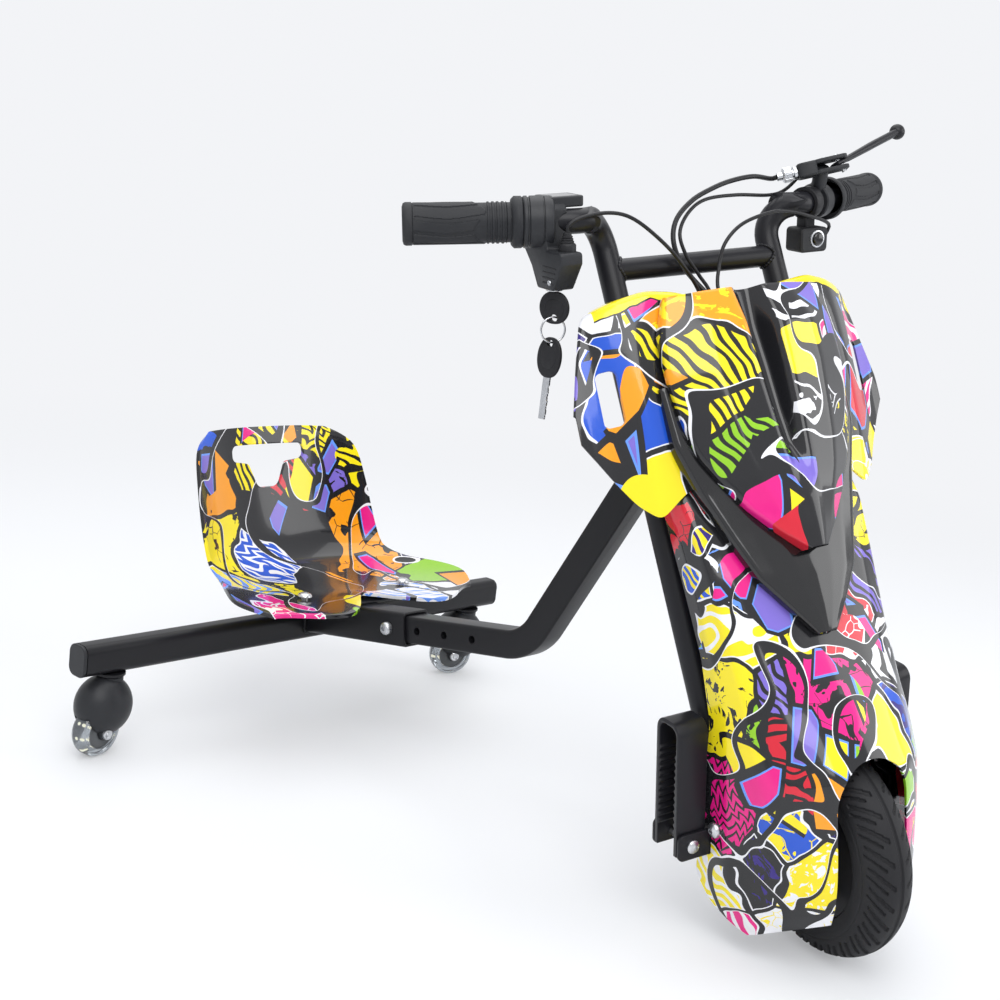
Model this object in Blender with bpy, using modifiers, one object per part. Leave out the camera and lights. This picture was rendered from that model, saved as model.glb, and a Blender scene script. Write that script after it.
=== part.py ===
# Electric drift tricycle: hub-motor front wheel, raked fork in a printed fairing, bucket seat
# on a sleeve that slides along a bent square tube, and two swivel casters under a crossbar.
# Metres, +Z up, +X forward, +Y the rider's left. The origin is on the floor under the middle.
import math

import bmesh
import bpy
from mathutils import Matrix, Vector

GAP = 0.0003                 # gap left between pieces that touch
FILLET_STEPS = 6             # steps in a bend or a rounded corner

# Rear crossbar and its casters
CROSSBAR_X = -0.3395         # place of the crossbar behind the origin
CROSSBAR_Z = 0.106           # height of its centre
CROSSBAR_HALF = 0.3128       # centre to the outside of an end cap
CROSSBAR_DEPTH = 0.028
CROSSBAR_HEIGHT = 0.034
CROSSBAR_CORNER = 0.0095
TUBE_WALL = 0.0022
CAP_LENGTH = 0.004
CAP_PLUG = 0.012
CASTER_INSET = 0.0418        # each caster's swivel from the end of the crossbar
CASTER_Y = CROSSBAR_HALF - CASTER_INSET
CASTER_RADIUS = 0.027
CASTER_WIDTH = 0.020
CASTER_TRAIL = 0.015
CASTER_TURN = {"right": -80.0, "left": -115.0}   # where each wheel trails to, about +Z from +X
HOOD_RADIUS = 0.0325
HOOD_DEPTH = 0.0275
STEM_RADIUS = 0.005
STEM_PLATE = 0.0032

# Main square tube, its sleeve and the length bolt
MAIN_TUBE = 0.030
SLEEVE = 0.038
SLEEVE_WALL = 0.0032
SLEEVE_FRONT = 0.173         # front end of the sleeve ahead of the crossbar
MAIN_TUBE_BACK = 0.030       # rear end of the main tube ahead of the crossbar
MAIN_TUBE_Z = 0.1166         # height of the sleeve's line above the crossbar
MAIN_PITCH = 10.0            # rise of the sleeve, degrees
RISER_PITCH = 62.0           # rise of the front run, degrees
BEND_X = 0.3395              # corner of the bend ahead of the crossbar
BEND_RADIUS = 0.055
HOLE_PITCH = 0.040
HOLE_COUNT = 3               # adjustment holes that stay open
LENGTH_BOLT_X = 0.149
BOLT_RADIUS = 0.004

# Steering axis and head
AXIS_X = 0.740               # foot of the steering axis ahead of the crossbar
RAKE = 26.0
REST_TURN = -21.0            # the stored pose has the bars turned to the rider's right
HEAD_HEIGHT = 0.539          # middle of the head tube along the axis
HEAD_LENGTH = 0.085
HEAD_RADIUS = 0.017
STEERER_RADIUS = 0.0127
BEARING_THICK = 0.0056
CROWN_TOP = 0.480
CROWN_FRONT = 0.021
CROWN_THICK = 0.012
YOKE_THICK = 0.008

# Fork, wheel and brake
LEG_RADIUS = 0.0125
LEG_Y = 0.076
LEG_OFFSET = -0.015          # forks sit behind the steering axis
LEG_BOTTOM = 0.128
DROPOUT_THICK = 0.006
TYRE_RADIUS = 0.100
TYRE_WIDTH = 0.050
RIM_RADIUS = 0.0625
AXLE_FORWARD = 0.0052        # axle ahead of the steering axis
AXLE_RADIUS = 0.006
HUB_HALF = 0.030
BRAKE_RADIUS = 0.042

# Handlebar
BAR_RADIUS = 0.0111
UPRIGHT_Y = 0.089
UPRIGHT_OFFSET = 0.0168      # uprights stand ahead of the steering axis
CROSS_TUBE_RISE = 0.0443     # cross tube above the top of the yoke, along the axis
CROSS_TUBE_RADIUS = 0.010
BAR_Z = 0.6285               # height of the grips above the floor
GRIP_INNER = (-0.2865, 0.1666)
GRIP_OUTER = (-0.3300, 0.2605)
GRIP_RADIUS_RIGHT = 0.0186
GRIP_RADIUS_LEFT = 0.0167
GRIP_END_WALL = 0.004

# Footpegs
PEG_X = -0.1010              # peg pivot, from the foot of the steering axis
PEG_Y = 0.1140
PEG_Z = 0.1085
PEG_WIDTH = 0.0335
PEG_LENGTH = 0.115
PEG_BAR = 0.0045
PEG_DEPTH = 0.0300
PEG_PIN = 0.003
BRACKET_THICK = 0.004
EAR_THICK = 0.003
EAR_HEIGHT = 0.025
PEG_PLAY = 0.0006

# Fairing
SHELL = 0.0025
COVER_SHELL = 0.0024
ARCH_GAP = 0.0125            # room between the tyre and the wheel arch
ARCH_TOP = 0.179             # height of the arch along the steering axis

# Seat
SEAT_SHELL = 0.0040
SEAT_STRAP_X = 0.072
SEAT_BOLT_Y = 0.075

PART = bpy.data.collections.new("electric_tricycle")
CUTTERS = bpy.data.collections.new("cutters")


def clear_scene():
    for item in list(bpy.data.objects):
        bpy.data.objects.remove(item, do_unlink=True)
    bpy.context.scene.collection.children.link(PART)
    bpy.context.scene.collection.children.link(CUTTERS)


def material(name, colour, roughness, metallic=0.0):
    made = bpy.data.materials.new(name)
    made.use_nodes = True
    shader = made.node_tree.nodes["Principled BSDF"]
    shader.inputs["Base Color"].default_value = (*colour, 1.0)
    shader.inputs["Roughness"].default_value = roughness
    shader.inputs["Metallic"].default_value = metallic
    made.diffuse_color = (*colour, 1.0)
    return made


FINISH = {
    "satin": ((0.018, 0.018, 0.020), 0.38, 0.6),
    "plastic": ((0.022, 0.022, 0.024), 0.45, 0.0),
    "rubber": ((0.020, 0.020, 0.020), 0.75, 0.0),
    "steel": ((0.55, 0.56, 0.58), 0.28, 1.0),
    "print": ((0.80, 0.62, 0.05), 0.18, 0.0),
    "gloss": ((0.010, 0.010, 0.011), 0.10, 0.0),
    "clear": ((0.45, 0.46, 0.47), 0.15, 0.0),
    "battery": ((0.05, 0.12, 0.35), 0.45, 0.0),
}


def place(item, finish, parent=None, cutter=False):
    """Puts an object in its collection with its own material and parent."""
    for group in list(item.users_collection):
        group.objects.unlink(item)
    (CUTTERS if cutter else PART).objects.link(item)
    if cutter:
        item.hide_render = True
        item.display_type = "WIRE"
    else:
        item.data.materials.clear()
        item.data.materials.append(material(item.name + "_finish", *FINISH[finish]))
    if parent is not None:
        item.parent = parent
    return item


def shade(item, angle=35.0):
    item.data.shade_smooth()
    item.data.set_sharp_from_angle(angle=math.radians(angle))
    return item


def mesh_object(name, shape, finish, parent=None, cutter=False):
    data = bpy.data.meshes.new(name)
    shape.to_mesh(data)
    shape.free()
    return place(bpy.data.objects.new(name, data), finish, parent, cutter)


def box(name, size, at, finish="satin", parent=None, turn=(0.0, 0.0, 0.0), bevel=0.0, cutter=False):
    shape = bmesh.new()
    bmesh.ops.create_cube(shape, size=1.0)
    bmesh.ops.scale(shape, vec=size, verts=shape.verts)
    item = mesh_object(name, shape, finish, parent, cutter)
    item.location = at
    item.rotation_euler = [math.radians(angle) for angle in turn]
    if bevel > 0.0:
        rounding = item.modifiers.new("rounding", "BEVEL")
        rounding.width = bevel
        rounding.segments = 2
        rounding.limit_method = "ANGLE"
    return item


def cylinder(name, radius, ends, finish="satin", parent=None, sides=20, cutter=False, radius_end=None):
    """A round or many-sided bar between two points."""
    start, stop = Vector(ends[0]), Vector(ends[1])
    shape = bmesh.new()
    bmesh.ops.create_cone(shape, cap_ends=True, segments=sides, radius1=radius,
                          radius2=radius if radius_end is None else radius_end,
                          depth=(stop - start).length)
    item = mesh_object(name, shape, finish, parent, cutter)
    item.location = (start + stop) / 2
    item.rotation_mode = "QUATERNION"
    item.rotation_quaternion = (stop - start).to_track_quat("Z", "Y")
    return shade(item)


def turned(name, profile, at, axis, finish, parent=None, steps=20, closed=False, cutter=False):
    """A solid of revolution. The profile is (radius, height) from the top down its outer side."""
    data = bpy.data.meshes.new(name)
    points = [(radius, 0.0, height) for radius, height in profile]
    edges = [(i, i + 1) for i in range(len(points) - 1)]
    if closed:
        edges.append((len(points) - 1, 0))
    data.from_pydata(points, edges, [])
    item = place(bpy.data.objects.new(name, data), finish, parent, cutter)
    item.location = at
    item.rotation_mode = "QUATERNION"
    item.rotation_quaternion = Vector(axis).to_track_quat("Z", "Y")
    screw = item.modifiers.new("turn", "SCREW")
    screw.angle = math.tau
    screw.steps = steps
    screw.render_steps = steps
    screw.use_merge_vertices = True
    screw.merge_threshold = 0.00001
    screw.use_smooth_shade = True
    return item


def slab(name, outlines, thickness, at, turn, finish="satin", parent=None, cutter=False):
    """A flat outline, with any holes, given a thickness along its own Z."""
    curve = bpy.data.curves.new(name, "CURVE")
    curve.dimensions = "2D"
    curve.fill_mode = "BOTH"
    curve.extrude = thickness / 2
    for outline in outlines:
        spline = curve.splines.new("POLY")
        spline.points.add(len(outline) - 1)
        for point, (u, v) in zip(spline.points, outline):
            point.co = (u, v, 0.0, 1.0)
        spline.use_cyclic_u = True
    return to_mesh(name, curve, at, turn, finish, parent, cutter)


def to_mesh(name, curve, at, turn, finish, parent, cutter=False):
    """Makes a curve a welded mesh, so that it can be cut."""
    guide = bpy.data.objects.new(name + "_curve", curve)
    bpy.context.scene.collection.objects.link(guide)
    shape = bmesh.new()
    data = bpy.data.meshes.new_from_object(guide.evaluated_get(bpy.context.evaluated_depsgraph_get()))
    shape.from_mesh(data)
    bmesh.ops.remove_doubles(shape, verts=shape.verts, dist=0.00001)
    bmesh.ops.recalc_face_normals(shape, faces=shape.faces)
    bpy.data.objects.remove(guide, do_unlink=True)
    item = mesh_object(name, shape, finish, parent, cutter)
    item.location = at
    item.rotation_euler = [math.radians(angle) for angle in turn]
    return shade(item)


def rod(name, points, radius, finish="satin", parent=None, cutter=False, fineness=3):
    """A round tube along points, as a curve with a bevel and filled caps."""
    curve = bpy.data.curves.new(name, "CURVE")
    curve.dimensions = "3D"
    curve.bevel_depth = radius
    curve.bevel_resolution = fineness
    curve.use_fill_caps = True
    spline = curve.splines.new("POLY")
    spline.points.add(len(points) - 1)
    for point, co in zip(spline.points, points):
        point.co = (*co, 1.0)
    return to_mesh(name, curve, (0, 0, 0), (0, 0, 0), finish, parent, cutter)


def sheet(name, rows, thickness, finish, parent=None, mirrored=True, smooth=35.0):
    """A shell over a grid of points, mirrored over the middle plane and given its wall."""
    width = len(rows[0])
    points = [point for row in rows for point in row]
    faces = []
    for i in range(len(rows) - 1):
        for j in range(width - 1):
            a = i * width + j
            faces.append((a, a + 1, a + width + 1, a + width))
    data = bpy.data.meshes.new(name)
    data.from_pydata(points, [], faces)
    item = place(bpy.data.objects.new(name, data), finish, parent)
    if mirrored:
        mirror = item.modifiers.new("halves", "MIRROR")
        mirror.use_axis = (False, True, False)
        mirror.merge_threshold = 0.0001
    wall = item.modifiers.new("wall", "SOLIDIFY")
    wall.thickness = thickness
    wall.offset = 0.0
    wall.use_even_offset = True
    return shade(item, smooth)


def combine(item, other, operation="DIFFERENCE"):
    change = item.modifiers.new(other.name, "BOOLEAN")
    change.operation = operation
    change.object = other
    return item


def unite(item, other):
    return combine(item, other, "UNION")


def rounded(width, height, radius, steps=4):
    """The outline of a rectangle with round corners."""
    outline = []
    for corner in range(4):
        sign_u = 1 if corner in (0, 3) else -1
        sign_v = 1 if corner in (0, 1) else -1
        for step in range(steps + 1):
            angle = math.radians(90 * corner + 90 * step / steps)
            outline.append((sign_u * (width / 2 - radius) + radius * math.cos(angle),
                            sign_v * (height / 2 - radius) + radius * math.sin(angle)))
    return outline


def filleted(corners, radii, steps=FILLET_STEPS):
    """Points along straight runs with a round bend at each inner corner, flat or in space."""
    points = [Vector(corners[0])]
    for before, corner, after, radius in zip(corners, corners[1:], corners[2:], radii):
        back = (Vector(before) - Vector(corner)).normalized()
        ahead = (Vector(after) - Vector(corner)).normalized()
        half = math.acos(max(-1.0, min(1.0, back.dot(ahead)))) / 2
        reach = radius / math.tan(half)
        centre = Vector(corner) + (back + ahead).normalized() * radius / math.sin(half)
        first = Vector(corner) + back * reach - centre
        last = Vector(corner) + ahead * reach - centre
        sweep = math.pi - 2 * half
        for step in range(steps + 1):
            share = step / steps
            mix = (first * math.sin((1 - share) * sweep) + last * math.sin(share * sweep)) / math.sin(sweep)
            points.append(centre + mix)
    points.append(Vector(corners[-1]))
    return points


def smooth_path(points, spacing):
    """Points at even steps along a smooth curve through a cable's chosen points."""
    knots = [Vector(point) for point in points]
    ends = [knots[0] * 2 - knots[1]] + knots + [knots[-1] * 2 - knots[-2]]
    dense = []
    for a, b, c, d in zip(ends, ends[1:], ends[2:], ends[3:]):
        for step in range(16):
            t = step / 16
            dense.append(0.5 * ((2 * b) + (c - a) * t + (2 * a - 5 * b + 4 * c - d) * t * t
                                + (3 * b - a - 3 * c + d) * t ** 3))
    dense.append(knots[-1])
    length = sum((q - p).length for p, q in zip(dense, dense[1:]))
    count = max(4, round(length / spacing))
    path = [dense[0]]
    walked, target = 0.0, length / count
    for p, q in zip(dense, dense[1:]):
        run = (q - p).length
        while walked + run >= target - 1e-9 and len(path) < count:
            path.append(p.lerp(q, (target - walked) / run))
            target += length / count
        walked += run
    path.append(dense[-1])
    return path


def along(length, angle):
    """A step of a length in the XZ plane at an angle above +X."""
    return Vector((length * math.cos(math.radians(angle)), 0.0, length * math.sin(math.radians(angle))))


# Frames. steering_level turns with the bars and keeps +Z up; its origin is the foot of the
# steering axis. steering_axis is raked too: its X is ahead of the axis and its Z runs up it.
AXIS = Vector((-math.sin(math.radians(RAKE)), 0.0, math.cos(math.radians(RAKE))))
AXIS_FOOT = Vector((CROSSBAR_X + AXIS_X, 0.0, 0.0))


def empty(name, matrix, parent=None):
    item = bpy.data.objects.new(name, None)
    PART.objects.link(item)
    item.parent = parent
    item.matrix_local = matrix
    return item


def steering_frames():
    turn = Matrix.Rotation(math.radians(REST_TURN), 4, AXIS)
    level = empty("steering_level", Matrix.Translation(AXIS_FOOT) @ turn)
    raked = empty("steering_axis", Matrix.Rotation(math.radians(-RAKE), 4, "Y"), level)
    return level, raked


def level_point(ahead, side, height):
    """A point of the raked frame, given in the level one."""
    return Matrix.Rotation(math.radians(-RAKE), 3, "Y") @ Vector((ahead, side, height))


def axle_height():
    """Height of the axle along the steering axis at which the turned tyre stands on the floor."""
    axle = Matrix.Rotation(math.radians(REST_TURN), 3, AXIS) @ Vector((0.0, 1.0, 0.0))
    section = TYRE_WIDTH / 2
    drop = (TYRE_RADIUS - section) * math.sqrt(1 - axle.z ** 2) + section
    rise = AXLE_FORWARD * math.sin(math.radians(RAKE)) * math.cos(math.radians(REST_TURN))
    return (drop - rise) / math.cos(math.radians(RAKE))


AXLE_HEIGHT = axle_height()
SLEEVE_LINE = Vector((CROSSBAR_X, 0.0, MAIN_TUBE_Z))


def sleeve_point(ahead):
    """The centre line of the sleeve at a distance ahead of the crossbar."""
    return SLEEVE_LINE + Vector((ahead, 0.0, ahead * math.tan(math.radians(MAIN_PITCH))))


# Rear frame

def rear_crossbar():
    length = 2 * (CROSSBAR_HALF - CAP_LENGTH - GAP)
    outer = rounded(CROSSBAR_DEPTH, CROSSBAR_HEIGHT, CROSSBAR_CORNER)
    inner = rounded(CROSSBAR_DEPTH - 2 * TUBE_WALL, CROSSBAR_HEIGHT - 2 * TUBE_WALL,
                    CROSSBAR_CORNER - TUBE_WALL)
    slab("rear_crossbar", [outer, inner], length, (CROSSBAR_X, 0, CROSSBAR_Z), (90, 0, 0))


def crossbar_cap(side, sign):
    wall = TUBE_WALL + GAP
    middle = CROSSBAR_HALF - CAP_LENGTH / 2
    cap = slab(f"crossbar_cap_{side}", [rounded(CROSSBAR_DEPTH, CROSSBAR_HEIGHT, CROSSBAR_CORNER)],
               CAP_LENGTH, (CROSSBAR_X, sign * middle, CROSSBAR_Z), (90, 0, 0), "plastic")
    plug = slab(f"plug_{side}", [rounded(CROSSBAR_DEPTH - 2 * wall, CROSSBAR_HEIGHT - 2 * wall,
                                         CROSSBAR_CORNER - wall)],
                CAP_PLUG + CAP_LENGTH / 2, (CROSSBAR_X, sign * (middle - (CAP_PLUG + CAP_LENGTH / 2) / 2),
                                            CROSSBAR_Z), (90, 0, 0), cutter=True)
    unite(cap, plug)


def seat_sleeve():
    start, stop = sleeve_point(-CROSSBAR_DEPTH), sleeve_point(SLEEVE_FRONT)
    inner = SLEEVE - 2 * SLEEVE_WALL
    sleeve = slab("seat_sleeve", [rounded(SLEEVE, SLEEVE, 0.004, 2), rounded(inner, inner, 0.002, 1)],
                  (stop - start).length, (start + stop) / 2, (0, 90 - MAIN_PITCH, 0))
    notch = box("crossbar_notch", (0.08, 0.08, 0.2),
                (CROSSBAR_X + CROSSBAR_DEPTH / 2 + GAP - 0.04, 0, CROSSBAR_Z), cutter=True)
    combine(sleeve, notch)
    combine(sleeve, bolt_hole("sleeve_hole"))


def bolt_hole(name):
    middle = sleeve_point(LENGTH_BOLT_X)
    radius = BOLT_RADIUS + GAP
    return cylinder(name, radius, (middle - Vector((0, 0.04, 0)), middle + Vector((0, 0.04, 0))),
                    sides=16, cutter=True)


def bent_outline(half, back_extra=0.0, front_extra=0.0):
    """The side view of the bent tube at a half width from its centre line."""
    corner = sleeve_point(BEND_X)
    start = sleeve_point(MAIN_TUBE_BACK) - along(back_extra, MAIN_PITCH)
    # The front run ends where its line meets the steering axis.
    slope, lean = math.radians(RISER_PITCH), math.radians(RAKE)
    reach = ((AXIS_FOOT.x - corner.x) * math.cos(lean) - corner.z * math.sin(lean)) / math.cos(slope - lean)
    stop = corner + along(reach + front_extra, RISER_PITCH)
    line = filleted([start, corner, stop], [BEND_RADIUS])
    upper, lower = [], []
    for i, point in enumerate(line):
        ahead = (line[min(i + 1, len(line) - 1)] - line[max(i - 1, 0)]).normalized()
        across = Vector((-ahead.z, 0.0, ahead.x)) * half
        upper.append(point + across)
        lower.append(point - across)
    return [(point.x, point.z) for point in upper + lower[::-1]]


def frame_tube():
    hollow = MAIN_TUBE / 2 - TUBE_WALL
    tube = slab("frame_tube", [bent_outline(MAIN_TUBE / 2)], MAIN_TUBE, (0, 0, 0), (90, 0, 0))
    edges = tube.modifiers.new("corners", "BEVEL")
    edges.width = 0.0025
    edges.segments = 1
    edges.limit_method = "ANGLE"
    edges.angle_limit = math.radians(60)
    bore = slab("frame_bore", [bent_outline(hollow, 0.01, 0.005)], 2 * hollow, (0, 0, 0), (90, 0, 0),
                cutter=True)
    combine(tube, bore)
    for i in range(HOLE_COUNT + 1):
        middle = sleeve_point(LENGTH_BOLT_X + i * HOLE_PITCH)
        hole = cylinder(f"adjust_hole_{i}", BOLT_RADIUS + GAP,
                        (middle - Vector((0, 0.04, 0)), middle + Vector((0, 0.04, 0))), sides=12, cutter=True)
        combine(tube, hole)
    foot, top = AXIS_FOOT + AXIS * (HEAD_HEIGHT - 0.1), AXIS_FOOT + AXIS * (HEAD_HEIGHT + 0.1)
    combine(tube, cylinder("head_seat", HEAD_RADIUS + GAP, (foot, top), sides=32, cutter=True))


def length_bolt():
    """Head, shank and nut of the bolt that locks the sleeve."""
    half = SLEEVE / 2 + GAP
    profile = [(0, half + 0.0075), (0.0035, half + 0.0072), (0.0065, half + 0.0045), (0.0072, half),
               (BOLT_RADIUS - GAP, half), (BOLT_RADIUS - GAP, -half), (0.0072, -half),
               (0.0072, -half - 0.006), (BOLT_RADIUS, -half - 0.006), (BOLT_RADIUS, -half - 0.009),
               (0, -half - 0.009)]
    turned("length_bolt", profile, sleeve_point(LENGTH_BOLT_X), (0, -1, 0), "satin", steps=16)


def head_set():
    """Head tube on the frame with its two bearings."""
    middle = AXIS_FOOT + AXIS * HEAD_HEIGHT
    half = HEAD_LENGTH / 2
    bore = STEERER_RADIUS + 0.0010
    turned("head_tube", [(HEAD_RADIUS, half), (HEAD_RADIUS, -half), (bore, -half), (bore, half)],
           middle, AXIS, "satin", steps=24, closed=True)
    for name, sign in (("head_bearing_upper", 1), ("head_bearing_lower", -1)):
        centre = middle + AXIS * sign * (half + GAP + BEARING_THICK / 2)
        thick = BEARING_THICK / 2
        inner = STEERER_RADIUS + GAP
        turned(name, [(HEAD_RADIUS - 0.0006, thick), (HEAD_RADIUS - 0.0006, -thick), (inner, -thick),
                      (inner, thick)], centre, AXIS, "steel", steps=24, closed=True)


# Seat

SEAT_ROWS = [   # centre x and z, half width, edge x and z, from the top rim to the front lip
    (-0.112, 0.317, 0.088, -0.104, 0.314),
    (-0.109, 0.303, 0.117, -0.082, 0.300),
    (-0.099, 0.262, 0.126, -0.062, 0.258),
    (-0.087, 0.222, 0.129, -0.045, 0.216),
    (-0.071, 0.187, 0.131, -0.028, 0.184),
    (-0.046, 0.165, 0.134, -0.012, 0.176),
    (-0.010, 0.1585, 0.143, 0.012, 0.172),
    (0.030, 0.1572, 0.160, 0.042, 0.172),
    (0.062, 0.1590, 0.172, 0.076, 0.169),
    (0.084, 0.1620, 0.150, 0.112, 0.162),
]
SEAT_COLUMNS = 8
HANDLE_HALF = 0.054
HANDLE_Z = (0.279, 0.297)
HANDLE_LOBE = 0.016
HANDLE_LOBE_Z = 0.247
LOBE_REACH = 0.052           # how far the thigh lobes reach ahead of the middle of the front lip


def seat_shell():
    rows = []
    for number, (centre_x, centre_z, half, edge_x, edge_z) in enumerate(SEAT_ROWS):
        front = number == len(SEAT_ROWS) - 1
        row = []
        for column in range(SEAT_COLUMNS + 1):
            share = column / SEAT_COLUMNS
            bow = share ** 2.4
            x = centre_x + (edge_x - centre_x) * bow
            z = centre_z + (edge_z - centre_z) * bow
            if front:
                x += LOBE_REACH * math.sin(math.pi * share ** 0.9) ** 1.4
            row.append((CROSSBAR_X + x, half * share, z))
        rows.append(row)
    shell = sheet("seat_shell", rows, SEAT_SHELL, "print")
    grip_middle = (HANDLE_Z[0] + HANDLE_Z[1]) / 2
    combine(shell, box("handle_slot", (0.10, 2 * HANDLE_HALF, HANDLE_Z[1] - HANDLE_Z[0]),
                       (CROSSBAR_X - 0.10, 0, grip_middle), cutter=True))
    combine(shell, box("handle_lobe", (0.10, 2 * HANDLE_LOBE, grip_middle - HANDLE_LOBE_Z),
                       (CROSSBAR_X - 0.10, 0, (grip_middle + HANDLE_LOBE_Z) / 2), cutter=True))
    for sign in (-1, 1):
        combine(shell, seat_bolt_hole(f"pan_hole_{sign}", sign))


def seat_bolt_hole(name, sign):
    x = CROSSBAR_X + SEAT_STRAP_X
    return cylinder(name, BOLT_RADIUS, ((x, sign * SEAT_BOLT_Y, 0.12), (x, sign * SEAT_BOLT_Y, 0.2)),
                    sides=16, cutter=True)


STRAP_THICK = 0.0034
STRAP_TOP = 0.1556
STRAP_WIDTH = 0.044
STRAP_END = 0.017            # strap beyond the middle of each bolt
PAN_TOP = 0.1655             # top of the seat pan at its bolts


def seat_strap():
    """The pressed strap across the sleeve that carries the seat pan."""
    x = CROSSBAR_X + SEAT_STRAP_X
    strap = box("seat_strap", (STRAP_WIDTH, 2 * (SEAT_BOLT_Y + STRAP_END), STRAP_THICK),
                (x, 0, STRAP_TOP - STRAP_THICK / 2), bevel=0.001)
    base = sleeve_point(SEAT_STRAP_X).z + SLEEVE / 2 / math.cos(math.radians(MAIN_PITCH)) + GAP
    pad = box("strap_pad", (STRAP_WIDTH - 0.004, SLEEVE - 0.004, 0.03), (x, 0, STRAP_TOP - 0.016), cutter=True)
    shave = box("pad_shave", (0.12, 0.08, 0.05), Vector((x, 0, base)) - along(0.025, MAIN_PITCH + 90),
                turn=(0, -MAIN_PITCH, 0), cutter=True)
    unite(strap, pad)
    combine(strap, shave)
    for side, sign in (("right", -1), ("left", 1)):
        combine(strap, seat_bolt_hole(f"strap_hole_{side}", sign))
        bottom = STRAP_TOP - STRAP_THICK - GAP - PAN_TOP
        shank = BOLT_RADIUS - GAP
        profile = [(0, 0.0040), (0.004, 0.0036), (0.0080, 0.0012), (0.0080, 0.0), (shank, 0.0),
                   (shank, bottom), (0.0065, bottom), (0.0065, bottom - 0.005), (0, bottom - 0.005)]
        turned(f"seat_bolt_{side}", profile, (x, sign * SEAT_BOLT_Y, PAN_TOP), (0, 0, 1), "steel", steps=16)


# Casters

def caster(side, sign):
    turn = math.radians(CASTER_TURN[side])
    swivel = empty(f"caster_swivel_{side}", Matrix.Translation((CROSSBAR_X, sign * CASTER_Y, 0))
                   @ Matrix.Rotation(turn, 4, "Z"))
    under = CROSSBAR_Z - CROSSBAR_HEIGHT / 2 - GAP
    plate = under - STEM_PLATE
    hood_top = plate - 0.0008
    turned(f"caster_stem_{side}", [(0, under), (0.016, under), (0.016, plate), (STEM_RADIUS, plate),
                                   (STEM_RADIUS, hood_top - 0.014), (0, hood_top - 0.014)],
           (CROSSBAR_X, sign * CASTER_Y, 0), (0, 0, 1), "steel", steps=24)
    shape = bmesh.new()
    bmesh.ops.create_uvsphere(shape, u_segments=16, v_segments=8, radius=1.0)
    bmesh.ops.scale(shape, vec=(HOOD_RADIUS, HOOD_DEPTH, HOOD_RADIUS), verts=shape.verts)
    hood = shade(mesh_object(f"caster_hood_{side}", shape, "plastic", swivel))
    hood.location = (CASTER_TRAIL * 0.45, 0, hood_top - HOOD_RADIUS + 0.0012)
    collar = cylinder(f"collar_{side}", 0.014, ((0, 0, hood_top - 0.016), (0, 0, hood_top)), parent=swivel,
                      cutter=True)
    unite(hood, collar)
    combine(hood, box(f"crown_trim_{side}", (0.1, 0.1, 0.02), (0, 0, hood_top + 0.01), parent=swivel,
                      cutter=True))
    combine(hood, cylinder(f"stem_bore_{side}", STEM_RADIUS + GAP,
                           ((0, 0, hood_top - 0.0145), (0, 0, hood_top + 0.01)), parent=swivel, sides=16,
                           cutter=True))
    slot = CASTER_WIDTH / 2 + 0.0008
    combine(hood, cylinder(f"wheel_well_{side}", CASTER_RADIUS + 0.0015,
                           ((CASTER_TRAIL, -slot, CASTER_RADIUS), (CASTER_TRAIL, slot, CASTER_RADIUS)),
                           parent=swivel, sides=20, cutter=True))
    combine(hood, box(f"well_mouth_{side}", (0.09, 2 * slot, 0.04), (CASTER_TRAIL, 0, CASTER_RADIUS - 0.02),
                      parent=swivel, cutter=True))
    combine(hood, box(f"hood_trim_{side}", (0.12, 0.12, 0.05), (0, 0, CASTER_RADIUS - 0.0065 - 0.025),
                      parent=swivel, cutter=True))
    pin = 0.0038
    combine(hood, cylinder(f"pin_hole_{side}", pin + GAP, ((CASTER_TRAIL, -0.05, CASTER_RADIUS),
                                                           (CASTER_TRAIL, 0.05, CASTER_RADIUS)),
                           parent=swivel, sides=16, cutter=True))
    reach = HOOD_DEPTH + 0.0006
    turned(f"caster_axle_{side}", [(0, reach + 0.003), (0.0055, reach + 0.002), (0.0060, reach),
                                   (pin, reach), (pin, -reach), (0.0060, -reach),
                                   (0.0055, -reach - 0.002), (0, -reach - 0.003)],
           (CASTER_TRAIL, 0, CASTER_RADIUS), (0, 1, 0), "steel", swivel, steps=16)
    half = CASTER_WIDTH / 2
    bore = pin + 0.0004
    tread = 0.004
    wheel = [(CASTER_RADIUS - tread, half), (CASTER_RADIUS - 0.0012, half - 0.0022),
             (CASTER_RADIUS, half - 0.006), (CASTER_RADIUS, -half + 0.006),
             (CASTER_RADIUS - 0.0012, -half + 0.0022), (CASTER_RADIUS - tread, -half),
             (bore, -half), (bore, half)]
    turned(f"caster_wheel_{side}", wheel, (CASTER_TRAIL, 0, CASTER_RADIUS), (0, 1, 0), "clear", swivel,
           steps=24, closed=True)


# Fork and head, in the raked frame

def head_end(sign):
    """The outer face of the upper or lower bearing."""
    return HEAD_HEIGHT + sign * (HEAD_LENGTH / 2 + GAP + BEARING_THICK + GAP)


YOKE_BOTTOM = head_end(1)
YOKE_TOP = YOKE_BOTTOM + YOKE_THICK


def plate_outline(front, back, half, corner):
    """A plate between two lines ahead of and behind the axis, with round corners."""
    middle = (front + back) / 2
    return [(u + middle, v) for u, v in rounded(front - back, 2 * half, corner)]


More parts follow.
